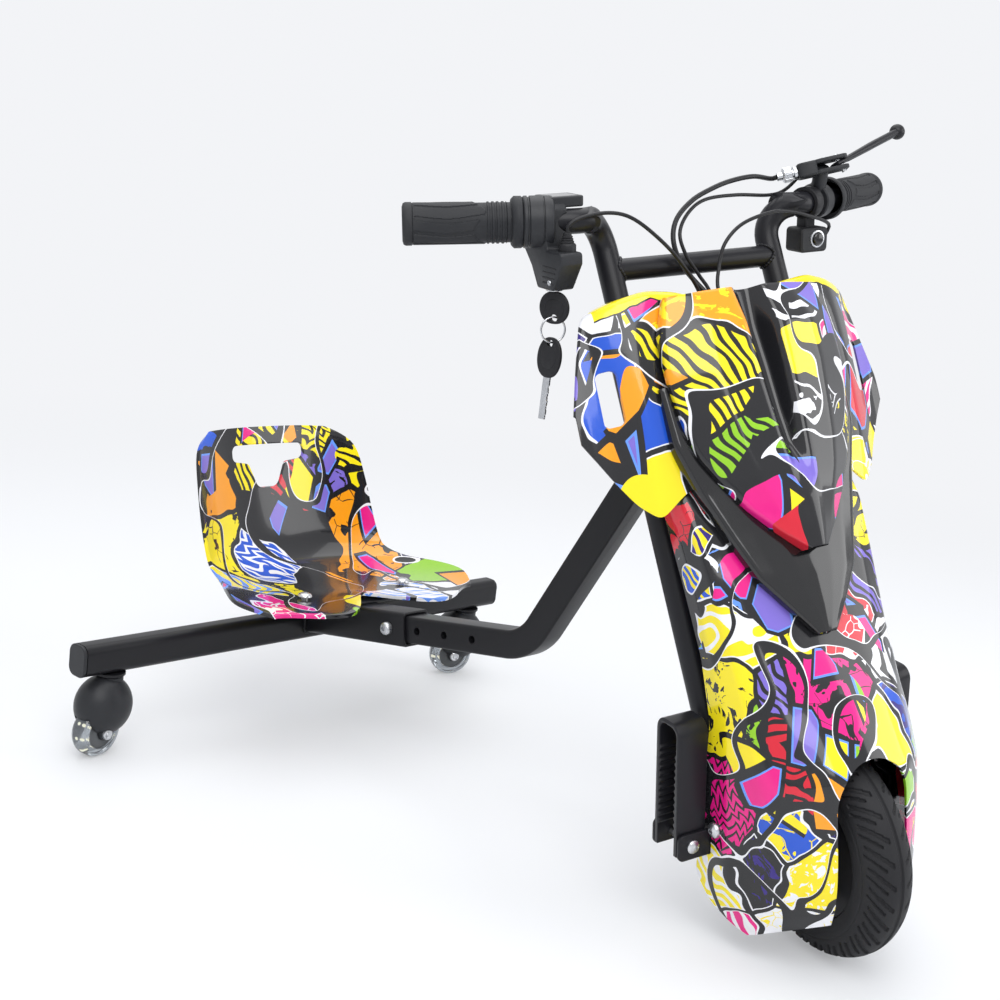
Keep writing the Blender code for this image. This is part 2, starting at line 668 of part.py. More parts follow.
def steering_head(raked):
    crown_back = LEG_OFFSET - LEG_RADIUS - 0.0015
    crown = slab("fork_crown", [plate_outline(CROWN_FRONT, crown_back, LEG_Y + LEG_RADIUS + 0.005, 0.011)],
                 CROWN_THICK, (0, 0, CROWN_TOP - CROWN_THICK / 2), (0, 0, 0), parent=raked)
    boss = cylinder("crown_boss", 0.016, ((0, 0, CROWN_TOP - 0.002), (0, 0, head_end(-1))), parent=raked,
                    cutter=True)
    unite(crown, boss)
    yoke = slab("upper_yoke", [plate_outline(UPRIGHT_OFFSET + BAR_RADIUS + 0.001, crown_back,
                                             UPRIGHT_Y + BAR_RADIUS + 0.002, 0.011)],
                YOKE_THICK, (0, 0, YOKE_BOTTOM + YOKE_THICK / 2), (0, 0, 0), parent=raked)
    for name, target in (("crown_bore", crown), ("yoke_bore", yoke)):
        combine(target, cylinder(name, STEERER_RADIUS + GAP, ((0, 0, 0.40), (0, 0, 0.65)), parent=raked,
                                 sides=24, cutter=True))
    top = YOKE_TOP + GAP
    low = CROWN_TOP - CROWN_THICK - GAP
    turned("steerer", [(0, top + 0.009), (0.013, top + 0.009), (0.0165, top + 0.006), (0.0165, top),
                       (STEERER_RADIUS, top), (STEERER_RADIUS, low), (0.0155, low), (0.0155, low - 0.004),
                       (0, low - 0.004)], (0, 0, 0), (0, 0, 1), "steel", raked, steps=24)
    for side, sign in (("right", -1), ("left", 1)):
        fork_leg(side, sign, raked, crown)


def fork_leg(side, sign, raked, crown):
    y = sign * LEG_Y
    top = YOKE_BOTTOM - GAP
    leg = cylinder(f"fork_leg_{side}", LEG_RADIUS, ((LEG_OFFSET, y, LEG_BOTTOM), (LEG_OFFSET, y, top)),
                   parent=raked, sides=24)
    combine(crown, cylinder(f"crown_leg_hole_{side}", LEG_RADIUS + GAP,
                            ((LEG_OFFSET, y, 0.44), (LEG_OFFSET, y, 0.52)), parent=raked, sides=24,
                            cutter=True))
    inner = LEG_Y - LEG_RADIUS - 0.004
    lug = slab(f"dropout_{side}", [filleted_outline([(LEG_OFFSET - 0.011, LEG_BOTTOM + 0.045),
                                                     (LEG_OFFSET - 0.011, AXLE_HEIGHT - 0.004),
                                                     (AXLE_FORWARD - 0.004, AXLE_HEIGHT - 0.020),
                                                     (AXLE_FORWARD + 0.017, AXLE_HEIGHT - 0.012),
                                                     (AXLE_FORWARD + 0.015, AXLE_HEIGHT + 0.020),
                                                     (LEG_OFFSET + 0.011, LEG_BOTTOM + 0.045)], 0.008)],
               DROPOUT_THICK, (0, sign * (inner + DROPOUT_THICK / 2), 0), (90, 0, 0), parent=raked,
               cutter=True)
    unite(leg, lug)
    combine(leg, cylinder(f"axle_hole_{side}", AXLE_RADIUS + GAP,
                          ((AXLE_FORWARD, sign * 0.04, AXLE_HEIGHT), (AXLE_FORWARD, sign * 0.09, AXLE_HEIGHT)),
                          parent=raked, sides=20, cutter=True))
    combine(leg, peg_bolt_hole(f"leg_bolt_hole_{side}", sign, raked))


def filleted_outline(corners, radius, steps=3):
    """A closed flat outline with each corner rounded."""
    count = len(corners)
    outline = []
    for i in range(count):
        trio = [(*corners[(i + k) % count], 0.0) for k in (-1, 0, 1)]
        outline += [(point.x, point.y) for point in filleted(trio, [radius], steps)[1:-1]]
    return outline


PEG_BOLT = (-0.0125, 0.143)  # ahead of and along the steering axis


def peg_bolt_hole(name, sign, raked, radius=0.0033):
    return cylinder(name, radius, ((PEG_BOLT[0], sign * 0.05, PEG_BOLT[1]), (PEG_BOLT[0], sign * 0.12,
                                                                          PEG_BOLT[1])),
                    parent=raked, sides=12, cutter=True)


def front_wheel(raked):
    at = (AXLE_FORWARD, 0, AXLE_HEIGHT)
    half = TYRE_WIDTH / 2
    bead = 0.019
    crown = [(RIM_RADIUS + 2 * GAP, bead)]
    steps = 10
    section = TYRE_RADIUS - half
    for step in range(steps + 1):
        angle = math.radians(117 - 234 * step / steps)
        crown.append((section + half * math.cos(angle), half * math.sin(angle)))
    crown.append((RIM_RADIUS + 2 * GAP, -bead))
    turned("front_tyre", crown, at, (0, 1, 0), "rubber", raked, steps=28, closed=True)
    bore = AXLE_RADIUS + 0.0004
    hub = [(0.020, HUB_HALF), (0.050, HUB_HALF - 0.004), (RIM_RADIUS - 0.006, 0.0225), (RIM_RADIUS, 0.0205),
           (RIM_RADIUS, -0.0205), (RIM_RADIUS - 0.006, -0.0225), (0.050, -HUB_HALF + 0.004),
           (0.020, -HUB_HALF), (bore, -HUB_HALF), (bore, HUB_HALF)]
    turned("front_hub", hub, at, (0, 1, 0), "satin", raked, steps=28, closed=True)
    inner = LEG_Y - LEG_RADIUS - 0.004
    outer = inner + DROPOUT_THICK
    axle = cylinder("front_axle", AXLE_RADIUS, ((AXLE_FORWARD, -outer - 0.012, AXLE_HEIGHT),
                                                (AXLE_FORWARD, outer + 0.012, AXLE_HEIGHT)), "steel", raked, 16)
    for side, sign in (("right", -1), ("left", 1)):
        nut = cylinder(f"axle_nut_{side}", 0.0100, ((AXLE_FORWARD, sign * (outer + GAP), AXLE_HEIGHT),
                                                    (AXLE_FORWARD, sign * (outer + 0.008), AXLE_HEIGHT)),
                       parent=raked, sides=6, cutter=True)
        unite(axle, nut)
        shoulder = HUB_HALF + 0.0004 if sign < 0 else HUB_HALF + 0.0135
        collar = cylinder(f"axle_collar_{side}", 0.0095, ((AXLE_FORWARD, sign * shoulder, AXLE_HEIGHT),
                                                          (AXLE_FORWARD, sign * (inner - GAP), AXLE_HEIGHT)),
                          parent=raked, sides=20, cutter=True)
        unite(axle, collar)


BRAKE_ARM = (0.034, 0.152)   # end of the brake arm, ahead of and along the steering axis


def brake_plate(raked):
    """Fixed back plate of the drum brake with its arm and cable anvil."""
    near, far = HUB_HALF + 0.0005, HUB_HALF + 0.0085
    plate = turned("brake_plate", [(BRAKE_RADIUS, far - 0.002), (BRAKE_RADIUS, near),
                                   (AXLE_RADIUS + GAP, near), (AXLE_RADIUS + GAP, far), (BRAKE_RADIUS - 0.003,
                                                                                        far)],
                   (AXLE_FORWARD, 0, AXLE_HEIGHT), (0, 1, 0), "satin", raked, steps=32, closed=True)
    reach = Vector((BRAKE_ARM[0] - AXLE_FORWARD, 0.0, BRAKE_ARM[1] - AXLE_HEIGHT))
    angle = math.degrees(math.atan2(reach.x, reach.z))
    arm = box("brake_arm", (0.012, 0.006, reach.length - 0.018),
              Vector((AXLE_FORWARD, far + 0.0015, AXLE_HEIGHT)) + reach.normalized() * (reach.length / 2 + 0.009),
              parent=raked, turn=(0, angle, 0), cutter=True)
    anvil = box("cable_anvil", (0.014, 0.014, 0.010), (BRAKE_ARM[0], far + 0.0060, BRAKE_ARM[1]), parent=raked,
                cutter=True)
    unite(plate, arm)
    unite(plate, anvil)


# Footpegs, in the level frame

def footpeg(side, sign, level, raked):
    ear = PEG_WIDTH / 2 + PEG_PLAY
    ear_thick = EAR_THICK
    wall = LEG_Y + LEG_RADIUS + GAP
    plate_thick = BRACKET_THICK
    bolt = level_point(PEG_BOLT[0], 0.0, PEG_BOLT[1])
    low, high = PEG_Z - EAR_HEIGHT / 2, PEG_Z + EAR_HEIGHT / 2
    outline = [(PEG_X - ear - ear_thick, low), (PEG_X + ear + ear_thick, low), (bolt.x + 0.014, bolt.z - 0.012),
               (bolt.x + 0.014, bolt.z + 0.012), (bolt.x - 0.010, bolt.z + 0.014), (PEG_X - ear - ear_thick, high)]
    bracket = slab(f"footpeg_bracket_{side}", [filleted_outline(outline, 0.006)], plate_thick,
                   (0, sign * (wall + plate_thick / 2), 0), (90, 0, 0), parent=level)
    tip = PEG_Y + PEG_DEPTH / 2
    for place_name, offset in (("front", ear + ear_thick / 2), ("rear", -ear - ear_thick / 2)):
        lug = box(f"ear_{place_name}_{side}", (ear_thick, tip - wall - 0.001, EAR_HEIGHT),
                  (PEG_X + offset, sign * (tip + wall + 0.001) / 2, PEG_Z), parent=level, bevel=0.002,
                  cutter=True)
        unite(bracket, lug)
    reach = ear + ear_thick + 0.003
    unite(bracket, cylinder(f"peg_pin_{side}", PEG_PIN, ((PEG_X - reach, sign * PEG_Y, PEG_Z),
                                                         (PEG_X + reach, sign * PEG_Y, PEG_Z)),
                            parent=level, sides=16, cutter=True))
    unite(bracket, cylinder(f"peg_pin_head_{side}", 0.0062, ((PEG_X + ear + 0.001, sign * PEG_Y, PEG_Z),
                                                             (PEG_X + reach + 0.001, sign * PEG_Y, PEG_Z)),
                            parent=level, sides=16, cutter=True))
    combine(bracket, peg_bolt_hole(f"bracket_bolt_hole_{side}", sign, raked))
    pivot = empty(f"footpeg_pivot_{side}", Matrix.Translation((PEG_X, sign * PEG_Y, PEG_Z)), level)
    outer = [(-PEG_WIDTH / 2, -0.009), (-PEG_WIDTH / 2, PEG_LENGTH), (PEG_WIDTH / 2, PEG_LENGTH),
             (PEG_WIDTH / 2, -0.009)]
    hollow = PEG_WIDTH / 2 - PEG_BAR
    inner = [(-hollow, -0.009), (-hollow, PEG_LENGTH - PEG_BAR), (hollow, PEG_LENGTH - PEG_BAR),
             (hollow, -0.009)]
    line = [(p.x, p.y) for p in filleted([(*q, 0) for q in outer], [0.0120, 0.0120], 4)]
    line += [(p.x, p.y) for p in filleted([(*q, 0) for q in inner], [0.0080, 0.0080], 4)][::-1]
    peg = slab(f"footpeg_{side}", [line], PEG_DEPTH, (0, 0, 0), (90, 0, 0), parent=pivot)
    combine(peg, cylinder(f"peg_bore_{side}", PEG_PIN + GAP, ((-0.05, 0, 0), (0.05, 0, 0)), parent=pivot,
                          sides=16, cutter=True))
    low = wall + plate_thick
    head = COVER_HALF + COVER_SHELL / 2 + GAP
    profile = [(0, head + 0.0052), (0.0035, head + 0.0050), (0.0068, head + 0.0035), (0.0072, head),
               (0.0030, head), (0.0030, low - plate_thick - 0.018), (0, low - plate_thick - 0.018)]
    turned(f"footpeg_bolt_{side}", profile, (PEG_BOLT[0], 0, PEG_BOLT[1]), (0, sign, 0), "steel", raked,
           steps=16)


# Fairing shells, in the raked frame. A row gives a height along the axis and points (ahead, side).

COVER_HALF = LEG_Y + LEG_RADIUS + GAP + BRACKET_THICK + GAP + COVER_SHELL / 2
COVER_ROWS = [
    (0.446, (0.0497, 0.0), (0.0495, 0.040), (0.0470, 0.074), (0.0410, 0.091), (0.0300, 0.0945), (0.0180, 0.093)),
    (0.400, (0.0570, 0.0), (0.0565, 0.040), (0.0565, 0.072), (0.0550, 0.091), (0.0360, 0.0940), (0.0180, 0.091)),
    (0.350, (0.0680, 0.0), (0.0670, 0.038), (0.0645, 0.068), (0.0570, 0.087), (0.0360, 0.0910), (0.0180, 0.089)),
    (0.290, (0.0740, 0.0), (0.0730, 0.036), (0.0680, 0.064), (0.0560, 0.084), (0.0360, 0.0895), (0.0180, 0.088)),
    (0.235, (0.0830, 0.0), (0.0810, 0.036), (0.0740, 0.062), (0.0570, 0.083), (0.0340, 0.0905), (0.0140, 0.092)),
    (0.205, (0.0925, 0.0), (0.0880, 0.036), (0.0780, 0.061), (0.0575, 0.084), (0.0280, 0.0935), (0.0000, COVER_HALF)),
    (0.168, (0.1000, 0.0), (0.0950, 0.038), (0.0800, 0.061), (0.0560, 0.083), (0.0150, COVER_HALF), (-0.020, COVER_HALF)),
    (0.135, (0.0870, 0.0), (0.0825, 0.038), (0.0690, 0.060), (0.0470, 0.080), (0.0000, COVER_HALF), (-0.044, COVER_HALF)),
    (0.105, (0.0760, 0.0), (0.0715, 0.038), (0.0580, 0.058), (0.0340, 0.078), (-0.016, COVER_HALF), (-0.060, COVER_HALF)),
    (0.080, (0.0660, 0.0), (0.0610, 0.038), (0.0480, 0.057), (0.0220, 0.075), (-0.018, 0.0905), (-0.050, 0.0930)),
    (0.060, (0.0540, 0.0), (0.0500, 0.038), (0.0340, 0.055), (0.0110, 0.071), (-0.013, 0.0840), (-0.034, 0.0880)),
    (0.048, (0.0430, 0.0), (0.0400, 0.039), (0.0200, 0.053), (0.0020, 0.067), (-0.010, 0.0780), (-0.021, 0.0820)),
]


def shell_rows(table):
    return [[(ahead, side, height) for ahead, side in points] for height, *points in table]


def front_cover(level, raked):
    cover = sheet("front_cover", shell_rows(COVER_ROWS), COVER_SHELL, "print", raked)
    reach = 0.06
    front = PEG_X + PEG_WIDTH / 2 + PEG_PLAY + EAR_THICK + 0.0012
    for sign in (-1, 1):
        combine(cover, peg_bolt_hole(f"cover_bolt_hole_{sign}", sign, raked, 0.0036))
        combine(cover, box(f"ear_notch_{sign}", (reach, 0.05, EAR_HEIGHT + 0.002),
                           (front - reach / 2, sign * COVER_HALF, PEG_Z), parent=level, cutter=True))
    half = TYRE_WIDTH / 2 + ARCH_GAP
    crown = [(half * math.cos(math.radians(angle)), ARCH_TOP - half + half * math.sin(math.radians(angle)))
             for angle in range(0, 181, 15)]
    depth = 0.16
    arch = slab("wheel_arch", [[(half, -0.02)] + crown + [(-half, -0.02)]], depth, (depth / 2, 0, 0), (90, 0, 90),
                parent=raked, cutter=True)
    combine(cover, arch)


WING_COLUMNS = [   # side, lower edge, upper edge, ahead at the lower edge, the middle and the upper edge
    (0.000, 0.440, 0.586, 0.0535, 0.0580, 0.0640),
    (0.030, 0.440, 0.592, 0.0535, 0.0580, 0.0650),
    (0.060, 0.438, 0.602, 0.0533, 0.0577, 0.0660),
    (0.088, 0.430, 0.606, 0.0518, 0.0592, 0.0640),
    (0.112, 0.412, 0.6025, 0.0428, 0.0562, 0.0560),
    (0.128, 0.428, 0.5985, 0.0360, 0.0460, 0.0460),
    (0.1415, 0.4505, 0.5930, 0.0310, 0.0360, 0.0360),
    (0.154, 0.4720, 0.5500, 0.0290, 0.0310, 0.0310),
    (0.164, 0.4880, 0.5120, 0.0280, 0.0285, 0.0280),
]
WING_SLOT = (0.1270, 0.1425, 0.497, 0.545)   # side and height of the air slot
CABLE_MOUTH = 0.052          # where the rim ends at the notch for the cables
RIM_AHEAD = 0.032            # where the top rim of the upper fairing ends above the cable way


def upper_fairing(raked):
    rows = []
    levels = 6
    for level in range(levels + 1):
        share = level / levels
        row = []
        for side, low, high, ahead_low, ahead_middle, ahead_high in WING_COLUMNS:
            bow = 4 * share * (1 - share)
            ahead = ahead_low + (ahead_high - ahead_low) * share
            ahead += (ahead_middle - (ahead_low + ahead_high) / 2) * bow
            row.append((ahead, side, low + (high - low) * share))
        rows.append(row)
    rim = []
    for side, _, high, _, _, ahead in WING_COLUMNS:
        rim_end = CABLE_MOUTH if side < 0.045 else RIM_AHEAD
        back = max(0.0, min(1.0, (0.150 - side) / 0.04)) * (ahead - rim_end)
        rim.append((ahead - back - 0.0012, side, high + 0.0010 + 0.10 * back))
    rows.append(rim)
    shell = sheet("upper_fairing", rows, SHELL, "print", raked)
    low_y, high_y, low_z, high_z = WING_SLOT
    for sign in (-1, 1):
        combine(shell, box(f"wing_slot_{sign}", (0.08, high_y - low_y, high_z - low_z),
                           (0.035, sign * (low_y + high_y) / 2, (low_z + high_z) / 2), parent=raked,
                           cutter=True))


def between(low, high, share):
    return [a + (b - a) * share for a, b in zip(low, high)]


def wing_ahead(side, height):
    """How far ahead the upper fairing's middle surface lies, held to its lower edge below it."""
    for inner, outer in zip(WING_COLUMNS, WING_COLUMNS[1:]):
        if side <= outer[0]:
            break
    _, low, high, ahead_low, ahead_middle, ahead_high = between(inner, outer, (side - inner[0])
                                                                / (outer[0] - inner[0]))
    share = max(0.0, (height - low) / (high - low))
    bow = (ahead_middle - (ahead_low + ahead_high) / 2) * 4 * share * (1 - share)
    return ahead_low + (ahead_high - ahead_low) * share + bow


def rows_ahead(table, side, height):
    """How far ahead a shell given by rows lies at a side and height, held to its top row above it."""
    for upper, lower in zip(table, table[1:]):
        if height >= lower[0]:
            break
    share = min(1.0, max(0.0, (upper[0] - height) / (upper[0] - lower[0])))
    row = [between(a, b, share) for a, b in zip(upper[1:], lower[1:])]
    for (ahead, inner), (ahead_next, outer) in zip(row, row[1:]):
        if side <= outer:
            break
    return ahead + (ahead_next - ahead) * (side - inner) / (outer - inner)


def with_lip(table, seat, draw_in=0.0008):
    """Adds to each row the lip that folds back from the edge of a shell down to the shell behind it."""
    rows = []
    for height, *points in table:
        side = points[-1][1] - draw_in
        rows.append((height, *points, (seat(side, height) + SHELL / 2 + LIP_GAP, side)))
    return rows


LIP_GAP = 0.0005             # gap under the lips of the shield and the panel
SHIELD_ROWS = [
    (0.5960, (0.0740, 0.0), (0.0740, 0.006), (0.0860, 0.018), (0.0820, 0.045), (0.0740, 0.078)),
    (0.5620, (0.0740, 0.0), (0.0740, 0.006), (0.0970, 0.018), (0.0920, 0.054), (0.0740, 0.0905)),
    (0.5250, (0.0780, 0.0), (0.0780, 0.006), (0.0985, 0.017), (0.0930, 0.054), (0.0735, 0.0925)),
    (0.4850, (0.0820, 0.0), (0.0820, 0.005), (0.0995, 0.015), (0.0935, 0.050), (0.0730, 0.0870)),
    (0.4550, (0.0870, 0.0), (0.0870, 0.004), (0.1000, 0.013), (0.0940, 0.046), (0.0740, 0.0795)),
    (0.4320, (0.0985, 0.0), (0.0985, 0.004), (0.1010, 0.012), (0.0950, 0.040), (0.0780, 0.0670)),
    (0.4050, (0.1040, 0.0), (0.1035, 0.005), (0.1010, 0.013), (0.0950, 0.030), (0.0830, 0.0490)),
    (0.3800, (0.1040, 0.0), (0.1030, 0.004), (0.1010, 0.009), (0.0960, 0.018), (0.0910, 0.0270)),
    (0.3620, (0.1020, 0.0), (0.1018, 0.002), (0.1010, 0.004), (0.1000, 0.006), (0.0990, 0.0080)),
]


def nose_shield(raked):
    top = PANEL_ROWS[0][0] + 0.006

    def seat(side, height):
        return wing_ahead(side, height) if height > top else rows_ahead(PANEL_ROWS, side, height)

    sheet("nose_shield", shell_rows(with_lip(SHIELD_ROWS, seat)), SHELL, "print", raked)


PANEL_ROWS = [
    (0.520, (0.0665, 0.0), (0.0665, 0.035), (0.0665, 0.070), (0.0655, 0.0975)),
    (0.467, (0.0680, 0.0), (0.0680, 0.034), (0.0675, 0.068), (0.0650, 0.0955)),
    (0.4256, (0.0730, 0.0), (0.0725, 0.030), (0.0710, 0.060), (0.0650, 0.0820)),
    (0.385, (0.0800, 0.0), (0.0790, 0.024), (0.0760, 0.046), (0.0700, 0.0670)),
    (0.3436, (0.0850, 0.0), (0.0840, 0.018), (0.0810, 0.035), (0.0760, 0.0505)),
    (0.315, (0.0850, 0.0), (0.0845, 0.010), (0.0830, 0.020), (0.0800, 0.0290)),
    (0.290, (0.0830, 0.0), (0.0830, 0.003), (0.0825, 0.006), (0.0820, 0.0090)),
]


def v_panel(raked):
    def seat(side, height):
        if height > 0.420:
            return wing_ahead(side, height)
        return rows_ahead(COVER_ROWS, side, height)

    sheet("v_panel", shell_rows(with_lip(PANEL_ROWS, seat)), SHELL, "gloss", raked)


REAR_COVER_BACK = -0.056
REAR_COVER_HALF = LEG_Y - LEG_RADIUS - GAP - COVER_SHELL / 2
REAR_COVER_SPAN = (0.224, 0.418)


def rear_cover(raked):
    """The printed inner cover between and behind the fork legs."""
    back, half = REAR_COVER_BACK, REAR_COVER_HALF
    section = [(back, 0.0), (back, half * 0.62), (back + 0.010, half - 0.004), (back + 0.022, half), (-0.001, half)]
    low, high = REAR_COVER_SPAN
    rows = [[(ahead, side, low + (high - low) * step / 4) for ahead, side in section] for step in range(5)]
    sheet("rear_cover", rows, COVER_SHELL, "print", raked)


CONTROLLER_TOP = 0.548
CONTROLLER_SIZE = (0.0310, 0.084, 0.098)
BATTERY_SIZE = (0.066, 0.150)   # depth and height; its width fills the rear cover
BATTERY_MIDDLE = 0.315


def inner_parts(raked):
    """The battery between the sides of the rear cover, and the controller against the crown."""
    depth, height = BATTERY_SIZE
    width = 2 * (REAR_COVER_HALF - COVER_SHELL / 2 - GAP)
    box("battery_pack", (depth, width, height), (0.0, 0, BATTERY_MIDDLE), "battery", raked, bevel=0.004)
    back = CROWN_FRONT + GAP
    box("controller", CONTROLLER_SIZE, (back + CONTROLLER_SIZE[0] / 2, 0, CONTROLLER_TOP - CONTROLLER_SIZE[2] / 2),
        "steel", raked, bevel=0.002)


# Handlebar and controls, in the level frame

def grip_point(distance, sign):
    """A point on a grip's axis, at a distance outward from its inner end."""
    inner, outer = Vector((*GRIP_INNER, BAR_Z)), Vector((*GRIP_OUTER, BAR_Z))
    point = inner + (outer - inner).normalized() * distance
    return Vector((point.x, sign * point.y, point.z))


GRIP_LENGTH = (Vector(GRIP_OUTER) - Vector(GRIP_INNER)).length


def grip_axis(sign):
    return (grip_point(1.0, sign) - grip_point(0.0, sign)).normalized()


def bar_line():
    """The left half of the bar: up from the yoke, out over the bend and along the grip."""
    foot = level_point(UPRIGHT_OFFSET, UPRIGHT_Y, YOKE_TOP + GAP)
    rise = level_point(0, 0, 1.0)
    top = foot + rise * ((BAR_Z - foot.z) / rise.z)
    turn_out = grip_point(-0.057, 1)
    end = grip_point(GRIP_LENGTH - GRIP_END_WALL - GAP, 1)
    return filleted([foot, top, turn_out, end], [0.026, 0.024], 6)


def bar_rod(name, radius, sign, level, cutter=True):
    points = [Vector((p.x, sign * p.y, p.z)) for p in bar_line()]
    return rod(name, points, radius, parent=level, cutter=cutter, fineness=2)


def handlebar(level):
    bar = bar_rod("handlebar", BAR_RADIUS, 1, level, cutter=False)
    middle = level_point(UPRIGHT_OFFSET, 0.0, YOKE_TOP + CROSS_TUBE_RISE)
    reach = Vector((0.0, UPRIGHT_Y, 0.0))
    cross = cylinder("cross_tube", CROSS_TUBE_RADIUS, (middle - reach, middle + reach), parent=level, sides=18,
                     cutter=True)
    unite(bar, bar_rod("bar_half", BAR_RADIUS, -1, level))
    unite(bar, cross)


def grip(name, sign, radius, parent, at, finish="rubber"):
    """A grip closed at its outer end, with a flange at its inner one, on its own origin."""
    bore = BAR_RADIUS + 0.0004
    length = GRIP_LENGTH
    profile = [(0, length), (radius - 0.004, length), (radius - 0.0005, length - 0.002), (radius, length - 0.004),
               (radius, length - 0.008), (radius - 0.0014, length - 0.0095), (radius - 0.0014, 0.012),
               (radius + 0.0015, 0.0095), (radius + 0.0038, 0.007), (radius + 0.0038, 0.001),
               (radius + 0.0030, 0.0), (bore, 0.0), (bore, length - GRIP_END_WALL), (0, length - GRIP_END_WALL)]
    return turned(name, profile, at, grip_axis(sign), finish, parent, steps=20)


HOUSING_RING = 0.0225
LOCK_X = -0.2665             # lock under the throttle housing
LOCK_Y = -0.1453
LOCK_RADIUS = 0.0080
HOUSING_DROP = 0.0565        # bottom of the lock block below the bar
HOUSING_BOTTOM = BAR_Z - HOUSING_DROP
HOUSING_THICK = 0.0225
SHOULDER_DROP = 0.0225       # shoulder that carries the cable boot, below the bar
SHOULDER = BAR_Z - SHOULDER_DROP
BOOT = (-0.2505, -0.1420)


def throttle_housing(level):
    """The clamp ring, lock block, cable boot and battery gauge of the twist throttle."""
    start, stop = grip_point(-0.0275, -1), grip_point(-0.0006, -1)
    ring = cylinder("throttle_housing", HOUSING_RING, (start, stop), "plastic", level, 32)
    low = HOUSING_BOTTOM
    outline = [(-0.2920, BAR_Z + 0.0165), (-0.2740, BAR_Z + 0.0215), (-0.2635, BAR_Z + 0.0115), (-0.2620, SHOULDER),
               (-0.2375, SHOULDER), (-0.2370, low + (SHOULDER - low) * 0.706), (-0.2525, low), (-0.2775, low),
               (-0.2880, low + (SHOULDER - low) * 0.529), (-0.3010, low + (SHOULDER - low) * 0.941)]
    body = slab("housing_body", [filleted_outline(outline, 0.0035, 2)], HOUSING_THICK, (0, LOCK_Y, 0),
                (90, 0, 0), parent=level, cutter=True)
    unite(ring, body)
    gauge = box("housing_gauge", (0.029, 0.036, 0.0095), (-0.2825, -0.1320, BAR_Z + 0.0168), parent=level, bevel=0.0015,
                cutter=True)
    unite(ring, gauge)
    boot = [(0, 0.0160), (0.0034, 0.0160), (0.0046, 0.0120), (0.0076, 0.0100), (0.0076, -0.0010), (0, -0.0010)]
    unite(ring, turned("cable_boot", boot, (*BOOT, SHOULDER), (0, 0, 1), "plastic", level, steps=20, cutter=True))
    combine(ring, bar_rod("housing_bore", BAR_RADIUS + 2 * GAP, -1, level))
    combine(ring, cylinder("lock_seat", LOCK_RADIUS + GAP, ((LOCK_X, LOCK_Y, HOUSING_BOTTOM - 0.02),
                                                          (LOCK_X, LOCK_Y, HOUSING_BOTTOM + 0.0120)),
                           parent=level, sides=24, cutter=True))
    grip("throttle_grip", -1, GRIP_RADIUS_RIGHT, level, grip_point(0.0, -1))


KEY_TURN = 37.0              # the key's broad side, turned from facing straight out
RING_TURN = -29.0            # bearing of the key ring's face, and of the spare key's below
SPARE_TURN = -90.0
KEY_HEAD = (0.0280, 0.0290)
SPARE_HEAD = (0.0270, 0.0360)
KEY_THICK = 0.0036
KEY_EYE = 0.0033
KEY_RIM = 0.0022             # material round the eye
RING_RADIUS = 0.0112
RING_RISE = 0.0006           # height of the ring's wire over the middle of the first key's eye
SPARE_SAG = 0.0008           # how far the spare key's eye hangs below the middle of the wire
RING_WIRE = 0.0009


def key_head(name, size, height, turn, parent):
    """The flat oval head of a key, with its broad side turned about its length."""
    steps = 20
    outline = [(size[0] / 2 * math.cos(math.tau * i / steps), size[1] / 2 * math.sin(math.tau * i / steps))
               for i in range(steps)]
    return slab(name, [outline], KEY_THICK, (0, 0, height), (90, 0, turn), "plastic", parent)


def eye(name, height, turn, parent):
    across = Vector((math.sin(math.radians(turn)), -math.cos(math.radians(turn)), 0.0)) * 0.01
    middle = Vector((0, 0, height))
    return cylinder(name, KEY_EYE, (middle - across, middle + across), parent=parent, sides=16, cutter=True)


def lock_and_keys(level):
    lock = empty("lock_axis", Matrix.Translation((LOCK_X, LOCK_Y, HOUSING_BOTTOM))
                 @ Matrix.Rotation(math.radians(KEY_TURN), 4, "Z"), level)
    barrel = cylinder("lock_barrel", LOCK_RADIUS, ((0, 0, 0.0114), (0, 0, -0.0020)), "steel", lock, 24)
    combine(barrel, box("key_way", (0.0086, 0.0028, 0.018), (0, 0, 0.0012), parent=lock, cutter=True))
    head_top = -0.0026
    head_middle = head_top - KEY_HEAD[1] / 2
    head = key_head("ignition_key", KEY_HEAD, head_middle, 0.0, lock)
    unite(head, box("ignition_blade", (0.0078, 0.0021, 0.016), (0, 0, -0.0005), parent=lock, cutter=True))
    eye_height = head_middle - KEY_HEAD[1] / 2 + KEY_EYE + KEY_RIM
    combine(head, eye("ring_eye", eye_height, 0.0, lock))
    # The ring and the spare key hang straight down from the eye of the key in the lock.
    bpy.context.view_layer.update()
    swing = empty("key_swing", Matrix.Identity(4), lock)
    swing.matrix_world = Matrix.Translation(lock.matrix_world @ Vector((0, 0, eye_height)))
    face = math.radians(RING_TURN)
    drop = RING_RADIUS - RING_RISE
    section = [(RING_RADIUS + RING_WIRE * math.cos(math.tau * i / 8), -RING_WIRE * math.sin(math.tau * i / 8))
               for i in range(8)]
    turned("key_ring", section, (0, 0, -drop), (math.cos(face), math.sin(face), 0), "steel", swing, steps=20,
           closed=True)
    spare_eye = -drop - RING_RADIUS - SPARE_SAG
    spare_middle = spare_eye + KEY_EYE + KEY_RIM - SPARE_HEAD[1] / 2
    turn = SPARE_TURN + 90.0
    spare = key_head("spare_key", SPARE_HEAD, spare_middle, turn, swing)
    unite(spare, box("spare_blade", (0.0076, 0.0021, 0.040), (0, 0, spare_middle - SPARE_HEAD[1] / 2 - 0.0170),
                     parent=swing, turn=(0, 0, turn), cutter=True))
    combine(spare, eye("spare_eye", spare_eye, turn, swing))


